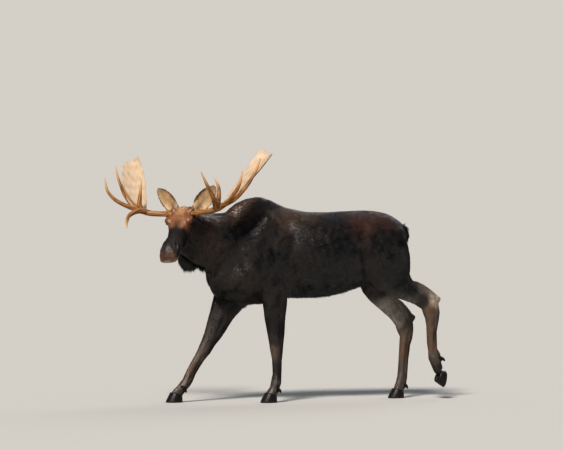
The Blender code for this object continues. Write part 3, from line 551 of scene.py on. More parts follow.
def face_relief(places):
    """Height of the face's folds over the plain head, at places in the head's frame.

    A nostril is a bowl in an oval with a raised rim. The mouth is a groove along a line, and the
    jaw below it is drawn in. The eye sits in a ring.
    """
    there = folded(places)
    ellipse = nostril_ring(places)
    height = NOSTRIL_RIM * hump((ellipse - 1.5) / 0.4) * (ellipse < 4)
    height -= NOSTRIL_DEPTH * (1 - ramp(ellipse, 0.35, 1.15))
    height -= LIP_DEPTH * hump(mouth_gap(there) / LIP_WIDTH)
    over, forward = lip_line(there)
    below = ramp(-over, 0.0, 0.012) * forward
    height -= below * (JAW_IN + CHIN_IN * ramp(there[:, 1], 0.52, 0.60))
    height += LIP_SWELL * hump((over - 0.016) / 0.012) * forward
    above = ramp(there[:, 2] - EYE_AT[2], -0.015, 0.02)
    eye_gap = np.linalg.norm(there - EYE_AT, axis=1)
    height += (EYE_RING_UP + BROW_UP * above) * hump((eye_gap - 0.033) / 0.011)
    tear_gap = np.linalg.norm((there - TEAR_AT) / [1, 1.6, 1], axis=1)
    height -= TEAR_DEPTH * hump(tear_gap / 0.013)
    on_top = there[:, 2] > -0.08
    for tall, width, middle, length in ((NOSE_HUMP, 0.035, 0.47, 0.09),
                                        (-NOSE_DIP, 0.05, 0.29, 0.07)):
        height += tall * on_top * hump(there[:, 0] / width) * hump((there[:, 1] - middle) / length)
    return height


# The muscles of trunk and legs, in cm from the elbow. Each crease is a line of places backward
# and up, its depth and half width in mm, and its leg's side, or 0 where it is on both flanks.
CREASES = (
    (((12, 166), (15, 148), (12, 128), (7, 108)), 6, 50, 0),
    (((-42, 162), (-36, 142), (-30, 122), (-20, 105)), 10, 40, 0),
    (((-16, 162), (-5, 142), (-2, 126)), 6, 32, 0),
    (((86, 156), (84, 130), (93, 110)), 18, 60, 0),
    (((20, 120), (50, 113), (80, 116)), 10, 40, 0),
    (((124, 152), (122, 127), (116, 110)), 8, 32, 0),
    (((4, 102), (4.5, 80), (5.5, 60)), 6, 18, 1),
    (((4, 43), (4.6, 28), (4, 20)), 5, 10, 1),
    (((-30, 100), (-38.5, 80), (-46, 60)), 6, 18, -1),
    (((-58.5, 43), (-66.5, 29), (-71.5, 21)), 5, 10, -1),
    (((136, 108), (148, 100), (157.5, 93)), 9, 17, 1),
    (((161, 82), (160.6, 64), (160.3, 46)), 5, 11, 1),
    (((127, 98), (136, 87), (144.5, 75.5)), 9, 17, -1),
    (((146.8, 63), (144.5, 46), (143.2, 25)), 5, 11, -1),
)
# Each swell: its middle as x, back and up, its radii, its height in mm, and its leg's side
SWELLS = (
    ((22, -10, 120), (20, 15, 11), 12, 0),
    ((24, 2, 142), (20, 9, 16), 8, 0),
    ((24, 95, 161), (10, 7, 6), 13, 0),
    ((25, 108, 136), (16, 13, 20), 13, 0),
    ((28, 32, 140), (16, 14, 13), 10, 0),
    ((28, 62, 144), (16, 13, 11), 9, 0),
    ((26, -24, 130), (16, 7, 15), 9, 0),
    ((20, -2, 50), (5, 5, 3), 5, 1),
    ((20, 3.5, 17.5), (5, 3.5, 2.5), 4, 1),
    ((20, -55, 52), (5, 5, 3), 5, -1),
    ((19, 160, 38.5), (5, 4, 2.5), 4, 1),
    ((19, 157, 86), (5, 4, 3), 5, 1),
    ((19, 144, 69), (5, 4, 3), 5, -1),
)
RIB_GAP = 0.075
RIB_HEIGHT = 0.0009
RIB_LEAN = 0.30
# Where ribs fade in and out, backward and up from the elbow
CAGE_BACK = (0.18, 0.32, 0.66, 0.80)
CAGE_UP = (1.06, 1.18, 1.46, 1.60)


def body_relief(places):
    """Height of the muscles' creases, swells and the ribs, at places measured from the elbow.

    A crease is a groove of bell-shaped section along its line; a swell is bell-shaped all round.
    """
    there = folded(places)
    flank = ramp(there[:, 0], 0.05, 0.12)
    height = np.zeros(len(places))
    for line, depth, width, side in CREASES:
        where = flank if side == 0 else places[:, 0] * side > 0
        gap = line_gap(there[:, 1:], np.array(line) / 100)
        height -= depth / 1000 * where * hump(gap / (width / 1000))
    for centre, radii, tall, side in SWELLS:
        where = 1 if side == 0 else places[:, 0] * side > 0
        away = (there - np.array(centre) / 100) / (np.array(radii) / 100)
        height += tall / 1000 * where * np.exp(-(away**2).sum(axis=1))
    caged = window(there[:, 1], *CAGE_BACK)
    caged *= window(there[:, 2], *CAGE_UP) * flank
    ribs = np.sin(2 * math.pi * (there[:, 1] + RIB_LEAN * (there[:, 2] - 1.3)) / RIB_GAP)
    return height + RIB_HEIGHT * caged * ribs


def finer(mesh, chosen):
    """The mesh with the faces whose corners are all chosen split in four."""
    shape = bmesh.new()
    shape.from_mesh(mesh)
    shape.verts.ensure_lookup_table()
    edges = [e for e in shape.edges if chosen[e.verts[0].index] and chosen[e.verts[1].index]]
    bmesh.ops.subdivide_edges(shape, edges=edges, cuts=1, use_grid_fill=True)
    shape.to_mesh(mesh)
    shape.free()


def coat_depth(length):
    """How far the hair stands off the skin: about a fifth of its length."""
    return np.clip(0.2 * length, 0.0018, 0.012)


# Ears are too thin for the melt, so they are swelled before it and drawn in again after it.
EAR_SWELL = 0.004
bodies = []
for name in sorted(FLESH, key=lambda name: name.startswith("ear")):
    body = plain_copy(name)
    if name.startswith("ear"):
        points, _ = numbers(body)
        outward(body, points + outward(body, points) * EAR_SWELL)
    bodies.append(body)
skin = melted("skin", bodies, SKIN_VOXEL)

# Trunk and neck are eased over their facets and joins; the slim parts only lose the voxel steps.
points, _ = numbers(skin.data)
pairs = edge_pairs(skin.data)
slim = near(points, 0.02, "ear_left", "ear_right")
slim |= near(points, 0.01, *(name for name in FLESH if name not in ("trunk", "neck")
                             and not name.startswith("ear")))
softness = near(points, 0.0, "trunk", "neck") & ~slim
softness = eased(softness[:, None].astype(float), pairs, 0.5, 30)[:, 0]
points = eased(points, pairs, 0.5 * softness, 110)
points = steadied(points, pairs, 14)

# The hide goes in by the coat's depth.
normals = outward(skin.data, points)
inset = coat_depth(dressed(points, normals)[1]) + EAR_SWELL * ear_share(points)
inset = eased(inset[:, None], pairs, 0.5, 4)
relief = body_relief(points - ELBOW) * ~near(points, 0.0, "head")
points = points + normals * relief[:, None] - normals * inset
shorter = BELL_TOP - (BELL_TOP - points[:, 2]) * BELL_SHARE
in_bell = near(points, 0.01, "bell") & (points[:, 2] < BELL_TOP)
points[:, 2] = np.where(in_bell, shorter, points[:, 2])
outward(skin.data, points)

# The muzzle and the eye sockets get finer faces for their folds.
local = on_head(points)
by_eye = np.linalg.norm(folded(local) - EYE_AT, axis=1) < 0.06
finer(skin.data, near(points, 0.0, "head") & ((local[:, 1] > 0.36) | by_eye))
points, _ = numbers(skin.data)
pairs = edge_pairs(skin.data)
points = steadied(points, pairs, 3)
normals = outward(skin.data, points)
face = near(points, 0.0, "head")
lift = np.where(face, face_relief(on_head(points)), 0)
points = points + normals * eased(lift[:, None], pairs, 0.5, 2)
outward(skin.data, points)

# The face's own detail is kept while the body's broad planes are thinned out.
keep = skin.vertex_groups.new(name="thin")
keep.add(np.flatnonzero(face).tolist(), FACE_THINNING, "REPLACE")
keep.add(np.flatnonzero(~face).tolist(), 1.0, "REPLACE")
thinned(skin, SKIN_TRIANGLES / len(numbers(skin.data)[1]), "thin")
skin.vertex_groups.clear()


def mottling(points):
    """The coat's blotches, about 50 and 12 mm across, as two noises from -1 to 1."""
    return rowing(points, 0.05, 3), rowing(points, 0.012, 4)


def painted(obj, colours):
    """A colour for every vertex, from linear red, green and blue."""
    layer = obj.data.attributes.new("paint", "FLOAT_COLOR", "POINT")
    full = np.concatenate([colours, np.ones((len(colours), 1))], axis=1)
    layer.data.foreach_set("color", full.astype(np.float32).ravel())


def fitted(obj, material, slot, *nodes):
    """The finished piece: shaded smooth, of its material, its CAD nodes hidden; the slot is not
    used.
    """
    obj.data.polygons.foreach_set("use_smooth", [True] * len(obj.data.polygons))
    obj.data.materials.append(material)
    if nodes:
        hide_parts(*nodes)
    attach(obj, "root")


def node(tree, kind, links=(), **settings):
    """A node with its sockets and properties set and its inputs linked from other sockets."""
    made = tree.nodes.new(kind)
    for word, value in settings.items():
        if word in made.inputs.keys():
            made.inputs[word].default_value = value
        else:
            setattr(made, word, value)
    for socket, source in dict(links).items():
        tree.links.new(source, made.inputs[socket])
    return made


def surface(name, grains=0, depth=0.0, strength=0.35, detail=3.0, **values):
    """A material with its shader's sockets set, coloured by the mesh's paint unless told a colour.

    Its bumps are noise of that many grains to the metre, that deep in metres.
    """
    made = bpy.data.materials.new(name)
    made.use_nodes = True
    tree = made.node_tree
    shader = tree.nodes["Principled BSDF"]
    for word, value in values.items():
        shader.inputs[word.replace("_", " ")].default_value = value
    if "Base_Color" not in values:
        paint = node(tree, "ShaderNodeAttribute", attribute_name="paint")
        tree.links.new(paint.outputs["Color"], shader.inputs["Base Color"])
    if grains:
        place = node(tree, "ShaderNodeTexCoord").outputs["Object"]
        grain = node(tree, "ShaderNodeTexNoise", {"Vector": place}, Scale=grains, Detail=detail)
        ridges = node(tree, "ShaderNodeBump", {"Height": grain.outputs["Fac"]},
                      Strength=strength, Distance=depth)
        tree.links.new(ridges.outputs["Normal"], shader.inputs["Normal"])
    return made


# Hide under hair: dull, a little darker than the hair, and grained by short hairs 2.4 mm apart
hide = surface("moose hide", 420, 0.0012, Roughness=0.52, Sheen_Weight=0.03, Sheen_Roughness=0.45)
NOSE_MOUTH_SHADE = linear("#120d0b")

points, _ = numbers(skin.data)
_, _, colour, skin_kind = dressed(points, outward(skin.data, points))
local = on_head(points)
# Painted shade: the nostrils' bowls and the mouth's groove are painted near black, where shade
# falls in them.
in_nose = 1 - ramp(nostril_ring(local), 0.7, 1.25)
in_mouth = 1 - ramp(mouth_gap(local), 0.002, 0.007)
painted_nose_mouth_shade = np.maximum(in_nose, in_mouth) * near(points, 0.0, "head")
broad, fine = mottling(points)
tone = 0.7 * colour * (1 + 0.12 * broad + 0.06 * fine)[:, None]
painted(skin, mixed(tone, NOSE_MOUTH_SHADE, painted_nose_mouth_shade[:, None]))
fitted(skin, hide, "coat", *FLESH)

# ------------------------------------------------------------------ coat
# Short guard hair lying back along the body, each tuft a few hairs wide: longest on the hump,
# throat and bell, shortest on the nose and the feet. It grows from the skin and hides it.

LOW_SKIN_TRIANGLES = 16000
PATCH = 0.003
ROOT_SINK = 0.0015
SHORT_HAIR = 0.024
FLATTER = 0.5
# Room between roots and width of a tuft, in metres, for each kind
SPACING = {"body": 0.0078, "mane": 0.0077, "legs": 0.0056, "head": 0.0044}
WIDTH = {"body": 0.0062, "mane": 0.0070, "legs": 0.0042, "head": 0.0033}
COAT_TRIANGLES = 190000
# How much of a tuft's shading is the coat's own; what belly hair droops by, of its length
SHINE_BLEND = 0.68
FRINGE = 0.5
# How much the lie swirls, and in swirls of what size, in metres; then its scatter
SWIRLS = ((1, 0.16), (0.8, 0.035))
SWIRL = 0.16
STRAY = 0.09
# How much tufts roll about their lie, and in patches of what size, in metres; then their scatter
ROLLS = ((0.30, 0.20), (0.26, 0.07), (0.14, 0.018))
ROLL_STRAY = 0.12
# A tuft's mid length and what it has risen by there, and its root's width, as shares; its
# thickness as a share of its width, and the most it may be
MID_LENGTH = 0.45
MID_RISE = 0.72
ROOT_WIDTH = 0.6
THICKNESS = 0.28
THICKEST = 0.0016
# The ruffled crown between the antlers: its middle in the head's frame, its reach, its ruffling
CROWN_AT = np.array([0.0, -0.02, 0.0])
CROWN_REACH = 0.085
CROWN_ROUGH = 2.6


def unwrapped(kind):
    """A thinned copy of one kind's part of the skin, laid out flat over the whole square."""
    low = thinned(placed("low skin", skin.data.copy()), LOW_SKIN_TRIANGLES / SKIN_TRIANGLES)
    points, _ = numbers(low.data)
    kinds = dressed(points, outward(low.data, points))[3]
    shape = bmesh.new()
    shape.from_mesh(low.data)
    shape.verts.ensure_lookup_table()
    others = [face for face in shape.faces if all(kinds[v.index] != kind for v in face.verts)]
    bmesh.ops.delete(shape, geom=others, context="FACES")
    shape.to_mesh(low.data)
    shape.free()
    low.data.uv_layers.new(name="OFBake")
    bpy.context.view_layer.objects.active = low
    low.select_set(True)
    bpy.ops.object.mode_set(mode="EDIT")
    bpy.ops.mesh.select_all(action="SELECT")
    bpy.ops.uv.smart_project(angle_limit=math.radians(60), island_margin=0.004)
    bpy.ops.object.mode_set(mode="OBJECT")
    low.select_set(False)
    return low


def flat_places(roots, low):
    """Where roots fall on the flat layout: read off the nearest face of the low skin."""
    tiny = np.array([[0, 0, 0], [1e-4, 0, 0], [0, 1e-4, 0]])
    corners = (roots[:, None] + tiny).reshape(-1, 3)
    marks = placed("marks", new_mesh(corners, np.arange(len(corners)).reshape(-1, 3)))
    marks.data.uv_layers.new(name="OFBake")
    carry = marks.modifiers.new("Carry", "DATA_TRANSFER")
    carry.object = low
    carry.use_loop_data = True
    carry.data_types_loops = {"UV"}
    carry.loop_mapping = "POLYINTERP_NEAREST"
    settled(marks)
    flat = read(marks.data.uv_layers["OFBake"].data, "uv", 2)
    bpy.data.objects.remove(marks)
    bpy.data.objects.remove(low)
    return flat[::3]


def unit_long(rows):
    """Rows divided by their own lengths."""
    return rows / np.linalg.norm(rows, axis=1, keepdims=True)


def scattered(kind, spacing, dice):
    """Roots on the skin where that kind is told: one at random in every cell of that size."""
    points, faces = numbers(skin.data)
    normals = outward(skin.data, points)
    corners = points[faces]
    area = np.cross(corners[:, 1] - corners[:, 0], corners[:, 2] - corners[:, 0])
    size = np.linalg.norm(area, axis=1) / 2 * (skin_kind[faces] == kind).any(axis=1)
    chosen = dice.choice(len(faces), int(4 * size.sum() / spacing**2), p=size / size.sum())
    part = np.sqrt(dice.random((len(chosen), 1)))
    other = dice.random((len(chosen), 1))
    shares = np.concatenate([1 - part, part * (1 - other), part * other], axis=1)[:, :, None]
    roots = (corners[chosen] * shares).sum(axis=1)
    upright = unit_long((normals[faces[chosen]] * shares).sum(axis=1))
    _, first = np.unique(np.floor(roots / spacing).astype(int), axis=0, return_index=True)
    order = dice.permutation(first)
    return roots[order], upright[order]


def bald(roots):
    """Where no tuft grows: inside the nostrils and mouth, and over the eyes."""
    local = on_head(roots)
    inside = (nostril_ring(local) < 1.2) | (mouth_gap(local) < 0.004)
    inside |= np.linalg.norm(folded(local) - EYE_AT, axis=1) < EYE_RADIUS * 1.2
    return inside & near(roots, 0.0, "head")


def tousled(roots):
    """How much a root belongs to the ruffled crown between the antlers: 1 at its middle."""
    gap = np.linalg.norm(on_head(roots) - CROWN_AT, axis=1)
    return hump(gap / CROWN_REACH)


def tuft_corners(roots, upright, lie, length, width, rise):
    """Corners of tufts, short and long: a ring of three under the skin, a ring at mid length, or
    one ridge corner on a short one, and the tip, which stands the given rise off the skin.
    """
    base = roots - upright * ROOT_SINK
    middle = roots + lie * (length * MID_LENGTH)[:, None] + upright * (rise * MID_RISE)[:, None]
    tip = roots + lie * length[:, None] + upright * rise[:, None]
    half = np.cross(upright, lie) * width[:, None] / 2
    thick = upright * np.minimum(width * THICKNESS, THICKEST)[:, None]
    ends = [base - half * ROOT_WIDTH, base + half * ROOT_WIDTH]
    ring = [base + thick, middle - half, middle + half, middle + thick]
    ridge = mixed(ring[0], ring[3], 0.5)
    return np.stack([*ends, ridge, tip], axis=1), np.stack([*ends, *ring, tip], axis=1)


# Short tufts are spikes and long ones have a ring at mid length: each one's faces, the layout of
# its corners on its patch, and their tones from the dark root to the pale tip
SHORT_TUFT = (
    np.array([[0, 2, 1], [0, 1, 3], [1, 2, 3], [2, 0, 3]]),
    np.array([[0, 0], [1, 0], [0.5, 0.2], [0.5, 1]]) - 0.5,
    np.array([0.75, 0.75, 0.85, 1.2]),
)
LONG_TUFT = (
    np.array([[0, 2, 1], [0, 1, 4], [0, 4, 3], [1, 2, 5], [1, 5, 4], [2, 0, 3], [2, 3, 5],
              [3, 4, 6], [4, 5, 6], [5, 3, 6]]),
    np.array([[0, 0], [1, 0], [0.5, 0.1], [0, 0.5], [1, 0.5], [0.5, 0.6], [0.5, 1]]) - 0.5,
    np.array([0.7, 0.7, 0.8, 0.95, 0.95, 1.05, 1.25]),
)


def joined_tufts(name, tuft, corners, flat, colour, glossy):
    """One mesh from every tuft's corners, with its bake map, its colours and its normals.

    A tuft shines as the coat round it does: its normals are its own blended with glossy.
    """
    faces, layout, tone = tuft
    count, size = corners.shape[:2]
    every = (faces[None] + np.arange(count)[:, None, None] * size).reshape(-1, 3)
    mesh = bpy.data.meshes.new(name)
    mesh.vertices.add(count * size)
    mesh.vertices.foreach_set("co", corners.astype(np.float32).ravel())
    mesh.loops.add(every.size)
    mesh.loops.foreach_set("vertex_index", every.ravel().astype(np.int32))
    mesh.polygons.add(len(every))
    mesh.polygons.foreach_set("loop_start", np.arange(0, every.size, 3, dtype=np.int32))
    mesh.update(calc_edges=True)
    layer = mesh.uv_layers.new(name="OFBake")
    spots = (flat[:, None] + layout[None] * PATCH).reshape(-1, 2)
    layer.data.foreach_set("uv", np.clip(spots[every.ravel()], 0, 1).astype(np.float32).ravel())
    piece = placed(name, mesh)
    painted(piece, (colour[:, None] * tone[None, :, None]).reshape(-1, 3))
    fitted(piece, hair, COAT_SLOTS[name.split("_")[0]])
    shine = mixed(read(mesh.vertices, "normal"), np.repeat(glossy, size, axis=0), SHINE_BLEND)
    mesh.normals_split_custom_set_from_vertices(unit_long(shine).astype(np.float32))


def grown(kind, seed):
    """The tufts of one kind, short and long apart: corners, flat places, colours, glossy ways."""
    dice = np.random.default_rng(seed)
    word = KINDS[kind]
    roots, upright = scattered(kind, SPACING[word], np.random.default_rng(seed))
    kept = ~bald(roots)
    roots = roots[kept]
    upright = upright[kept]
    lie, length, colour, kinds = dressed(roots, upright)
    kept = kinds == kind
    roots, upright, lie, length, colour = (v[kept] for v in (roots, upright, lie, length, colour))

    # Hair lies along the skin in swirls; on the bell and under the belly it droops off it.
    swirl = np.stack([sum(share * rowing(roots, size, seed + 5 * layer + k)
                          for layer, (share, size) in enumerate(SWIRLS)) for k in range(3)], axis=1)
    rough = 1 + CROWN_ROUGH * tousled(roots)
    under = ramp(-upright[:, 2], 0.30, 0.85) * near(roots, 0.02, "trunk") * (word != "legs")
    lie = lie + SWIRL * rough[:, None] * swirl + dice.normal(0, STRAY, roots.shape)
    rising = (lie * upright).sum(axis=1)
    lie -= upright * (rising - np.maximum(rising, 0) * 0.8 * hanging(roots))[:, None]
    lie += (under * dice.uniform(0, FRINGE, len(roots)))[:, None] * upright
    lie = unit_long(lie)
    rise = coat_depth(length) * dice.uniform(0.45, 1.0, len(roots))
    rise *= np.where(length < SHORT_HAIR, FLATTER, 1) * (1 + tousled(roots))
    length = length * dice.uniform(0.75, 1.15, len(roots))
    width = WIDTH[word] * dice.uniform(0.75, 1.25, len(roots))
    broad, fine = mottling(roots)
    shade = 1 + 0.14 * broad + 0.10 * fine + dice.normal(0, 0.10, len(roots))
    colour = colour * np.clip(shade, 0.5, 1.6)[:, None]
    flat = flat_places(roots, unwrapped(kind))

    # Tufts roll about their lie in patches, so that the gloss breaks up as on combed hair.
    broad_roll, mid_roll, fine_roll = (share * rowing(roots, size, seed + 10 + layer)
                                       for layer, (share, size) in enumerate(ROLLS))
    roll = broad_roll + mid_roll + (fine_roll + dice.normal(0, ROLL_STRAY, len(roots)))
    upright = unit_long(upright + np.cross(upright, lie) * roll[:, None])
    glossy = upright * (1 - ear_share(roots))[:, None]
    small, large = tuft_corners(roots, upright, lie, length, width, rise)
    short = length < SHORT_HAIR
    return (("short", SHORT_TUFT, [v[short] for v in (small, flat, colour, glossy)]),
            ("long", LONG_TUFT, [v[~short] for v in (large, flat, colour, glossy)]))


# Guard hair: smooth and glossy, so light runs along it; its sheen is a trace of cold sky
hair = surface(
    "guard hair", Roughness=0.38, Specular_IOR_Level=0.8, Sheen_Weight=0.02, Sheen_Roughness=0.30,
    Sheen_Tint=(0.75, 0.80, 0.92, 1),
)
COAT_SLOTS = {"body": "coat", "mane": "mane", "legs": "leg_coat", "head": "coat"}
FIRST_SEED = 40
for kind, word in enumerate(KINDS):
    for size, tuft, rows in grown(kind, FIRST_SEED + 10 * kind):
        parts = math.ceil(len(rows[0]) * len(tuft[0]) / COAT_TRIANGLES)
        for part in range(parts):
            joined_tufts(f"{word}_coat_{size}_{part + 1}", tuft, *(v[part::parts] for v in rows))

# ------------------------------------------------------------------ eyes and lids
# A moose's eye is a large dark globe low under the brow, its clear front bulging a little, the
# pupil a level slit in a brown ring. Two rims of bare dark hide hold it in the socket.

GAZE, GAZE_UP = squared([0.93, 0.27, 0.12], [0.0, -0.35, 0.94])
CORNEA = 0.07
EYE_GRID = (49, 72)
EYE_RING = linear("#2a170d")
EYE_WHITE = linear("#120c0a")
EYE_PUPIL = linear("#050506")
# The slit's half length and half height, and where the brown ring ends, in angles from the gaze
PUPIL_HALF = (0.30, 0.13)
RING_END = (0.50, 0.60)
# The lids' rims, in angles from the gaze: half the opening's width, its upper and lower halves'
# heights, and how far under the hide the rims reach
LID_WIDE = 0.86
LID_UPPER = 0.50
LID_LOWER = 0.42
LID_ROOT = 1.45
LID_THICK = 0.0034
LID_CLEAR = 0.0006
LID_FOLD = 0.0016
LID_ROWS = 14
LID_COLUMNS = 96


def full_turn(count):
    """That many angles, evenly spaced round a circle."""
    return np.arange(count) * 2 * math.pi / count


def globe_radius(angle):
    """The eye's radius at an angle from the gaze: a ball with a bell-shaped bulge in front."""
    return EYE_RADIUS * (1 + CORNEA * hump(angle / 0.5))


def turned_out(angle, around, radius, side):
    """Points at an angle from the gaze, a turn about it and a radius from the eye's centre."""
    across = np.cross(GAZE_UP, GAZE)
    way = (
        np.cos(angle)[..., None] * GAZE
        + (np.sin(angle) * np.cos(around))[..., None] * across
        + (np.sin(angle) * np.sin(around))[..., None] * GAZE_UP
    )
    places = (EYE_AT + way * radius[..., None]) * [side, 1, 1]
    return carried(HEAD_FRAME, places.reshape(-1, 3))


def grid_faces(rows, columns, closed_rows=False):
    """Quads between neighbours of a grid of points, joined round its columns, and its rows too
    where they close.
    """
    row = np.arange(rows if closed_rows else rows - 1)[:, None]
    column = np.arange(columns)[None]
    next_row = (row + 1) % rows * columns
    next_column = (column + 1) % columns
    corners = (row * columns + column, row * columns + next_column,
               next_row + next_column, next_row + column)
    return np.stack(corners, axis=-1).reshape(-1, 4)


# A wet globe, so it mirrors the lamps in small bright points
globe = surface("wet eye", Roughness=0.06, IOR=1.38, Coat_Weight=1.0, Coat_Roughness=0.02)
# Bare hide round it: darker and slicker than the coat, with pores 1.4 mm apart
lid_hide = surface("bare dark hide", 700, 0.0006, 0.3, 2.0,
                   Base_Color=(*linear("#1a1310"), 1), Roughness=0.38)

for word, side in (("left", 1), ("right", -1)):
    angle = np.linspace(0.0, math.pi, EYE_GRID[0])[:, None] + np.zeros(EYE_GRID[1])
    around = full_turn(EYE_GRID[1]) + np.zeros(EYE_GRID)
    level = angle * np.cos(around)
    height = angle * np.sin(around)
    pupil = 1 - ramp(np.hypot(level / PUPIL_HALF[0], height / PUPIL_HALF[1]), 0.9, 1.1)
    ring = 1 - ramp(angle, *RING_END)
    tone = mixed(mixed(EYE_WHITE, EYE_RING, ring[..., None]), EYE_PUPIL, pupil[..., None])
    points = turned_out(angle, around, globe_radius(angle), side)
    eye = placed(f"eyeball_{word}", new_mesh(points, grid_faces(*EYE_GRID)))
    painted(eye, tone.reshape(-1, 3))
    merged(eye.data, eye.data)
    fitted(eye, globe, "eye", f"eye_{word}")

    # The rims' cross-section runs from the opening outward over the top and back underneath.
    turn = full_turn(LID_COLUMNS)
    tall = np.where(np.sin(turn) > 0, LID_UPPER, LID_LOWER)
    opening = 1 / np.hypot(np.cos(turn) / LID_WIDE, np.sin(turn) / tall)
    out = np.linspace(0, 1, LID_ROWS) ** 1.3
    share = np.concatenate([out, np.linspace(1, 0, LID_ROWS) ** 1.3])
    upper = np.arange(2 * LID_ROWS) < LID_ROWS
    swell = np.where(upper, LID_THICK * np.minimum(1, 0.35 + share * 8), 0)
    fold = np.where(upper, LID_FOLD * hump((share - 0.45) / 0.12), 0)
    angle = opening[None] + (LID_ROOT - opening[None]) * share[:, None]
    radius = globe_radius(angle) + LID_CLEAR + (swell - fold)[:, None]
    points = turned_out(angle, turn + np.zeros(angle.shape), radius, side)
    lid = placed(f"eyelids_{word}", new_mesh(points, grid_faces(*angle.shape, closed_rows=True)))
    merged(lid.data, lid.data)
    fitted(lid, lid_hide, "coat")

# ------------------------------------------------------------------ antlers
# Bare bone grown in one season: a burr at the skull, a level beam, brow tines that sweep
# forward, and a broad bowed palm. Grooves left by the velvet's vessels run out along it.

ANTLER_VOXEL = 0.0040
# In the level frame on the brow, in mm: x outward, y forward, z up, and the radius there
BEAM = (
    (45, -10, -30, 24), (125, 0, -15, 27), (135, 0, -14, 35), (148, 1, -13, 34),
    (160, 2, -12, 26), (230, 10, -8, 25), (310, 30, 0, 26), (385, 40, 25, 30), (430, 30, 50, 22),
)
OUTER_TINES = (
    (
        (400, 35, 30, 24), (460, 85, 50, 23), (530, 150, 85, 20), (600, 210, 140, 18),
        (660, 230, 220, 14), (685, 220, 335, 6),
    ),
    (
        (440, 30, 50, 22), (520, 6, 94, 20), (590, -30, 170, 19), (640, -60, 240, 16),
        (700, -100, 360, 12), (730, -130, 460, 6),
    ),
)
BROW_TINES = {
    "left": (
        (
            (350, 40, 20, 27), (375, 120, 55, 26), (385, 200, 120, 21), (365, 280, 220, 15),
            (330, 330, 340, 6),
        ),
        (
            (375, 60, 40, 24), (400, 95, 110, 22), (405, 100, 200, 16), (367, 90, 290, 7),
        ),
    ),
    "right": (
        (
            (350, 40, 15, 27), (390, 150, 20, 24), (415, 280, -20, 19), (412, 350, -80, 14),
            (400, 380, -136, 6),
        ),
        (
            (380, 60, 20, 26), (392, 95, 80, 24), (385, 95, 150, 18), (367, 90, 290, 7),
        ),
    ),
}
# The palm's front and rear edges, from the beam outward
PALM_FRONT = (
    (400, 50, 20), (490, 55, 75), (580, 0, 165), (665, -120, 300), (725, -250, 415),
    (755, -380, 510),
)
PALM_REAR = (
    (370, -10, 20), (395, -80, 90), (435, -165, 195), (478, -250, 290), (545, -350, 430),
    (625, -430, 565),
)
PALM_BULGE = 0.045
PALM_THICKNESS = 0.020
PALM_COLUMNS = 33
STEPS = 9
RIGHT_SPREAD = 0.955
GROOVE_HEIGHT = 0.0011
PEARL_HEIGHT = 0.0045
# The burr's place outward along the beam, and its half width
BURR_AT = 0.143
BURR_HALF = 0.022
TINE_TAN = linear("#a57a4e")
TINE_BROWN = linear("#5b3a20")
TIP_PALE = linear("#cfa877")
PALM_CREAM = linear("#b9a58f")
PALM_BACK_SHADE = linear("#4d3122")


def between(rows):
    """Rows in metres along a smooth line through rows in mm, in even steps of a cubic's turn.

    Each span is the cubic through its two ends whose slopes are half the step past each end.
    """
    rows = np.array(rows) / 1000
    ends = np.concatenate([2 * rows[:1] - rows[1:2], rows, 2 * rows[-1:] - rows[-2:-1]])
    made = []
    for before, start, end, after in zip(ends, ends[1:], ends[2:], ends[3:]):
        t = np.linspace(0, 1, STEPS, endpoint=False)[:, None]
        made.append(0.5 * (
            2 * start + (end - before) * t + (2 * before - 5 * start + 4 * end - after) * t**2
            + (3 * start - before - 3 * end + after) * t**3
        ))
    return np.concatenate([*made, rows[-1:]])


def rod(rows, sides=28):
    """A closed round tube along rows of x, y, z and radius, its ends drawn to a point."""
    rows = between(rows)
    ways = unit_long(np.gradient(rows[:, :3], axis=0))
    up = np.array([0.3, 0.5, 1.0])
    rise = unit_long(up - ways * (ways @ up)[:, None])
    across = np.cross(ways, rise)
    head = rows[:1] * [1, 1, 1, 0]
    tail = rows[-1:] + [[*(ways[-1] * rows[-1, 3] * 0.7), -rows[-1, 3]]]
    rows = np.concatenate([head, rows, tail])
    rise, across = (np.concatenate([v[:1], v, v[-1:]])[:, None] for v in (rise, across))
    turn = full_turn(sides)[None, :, None]
    points = rows[:, None, :3] + (np.cos(turn) * across + np.sin(turn) * rise) * rows[:, None, 3:]
    return points.reshape(-1, 3), grid_faces(len(rows), sides)


def palm_middle():
    """The palm's middle surface and its normals, as grids: lines from edge to edge, bowed."""
    across = np.linspace(0, 1, PALM_COLUMNS)[:, None]
    middle = mixed(between(PALM_FRONT)[:, None], between(PALM_REAR)[:, None], across)
    normal = np.cross(np.gradient(middle, axis=1), np.gradient(middle, axis=0))
    normal /= np.linalg.norm(normal, axis=2, keepdims=True)
    swell = np.sin(math.pi * across)[None]
    opening = np.linspace(0.2, 1, len(middle))[:, None, None]
    return middle - normal * swell * opening * PALM_BULGE, normal, swell


def palm():
    """A bowed plate: the middle surface carried both ways along its normals, closed at the rim."""
    middle, normal, swell = palm_middle()
    half = normal * PALM_THICKNESS / 2 * np.clip(swell * 1.6, 0.7, 1)
    rounds = np.concatenate([middle + half, (middle - half)[:, ::-1]], axis=1)
    rows, columns = rounds.shape[:2]
    hubs = [middle[0].mean(axis=0)[None], middle[-1].mean(axis=0)[None]]
    points = np.concatenate([rounds.reshape(-1, 3), *hubs])
    caps = []
    for hub, start in ((rows * columns, 0), (rows * columns + 1, (rows - 1) * columns)):
        ring = start + np.arange(columns)
        caps.append(np.stack([ring, np.roll(ring, -1), np.full(columns, hub)], axis=1))
    return points, grid_faces(rows, columns), *caps


def run_along(line):
    """Distance along a line of points, from its start."""
    steps = np.linalg.norm(np.diff(line, axis=0), axis=1)
    return np.concatenate([[0], np.cumsum(steps)])


def drawn_out(offset, way, run):
    """Places for noise that is long along a way: the offset across it, and a tenth of the run."""
    along = (offset * way).sum(axis=1)
    return offset - way * along[:, None] + (0.1 * (run + along))[:, None] * [0.4, 0.3, 0.86]


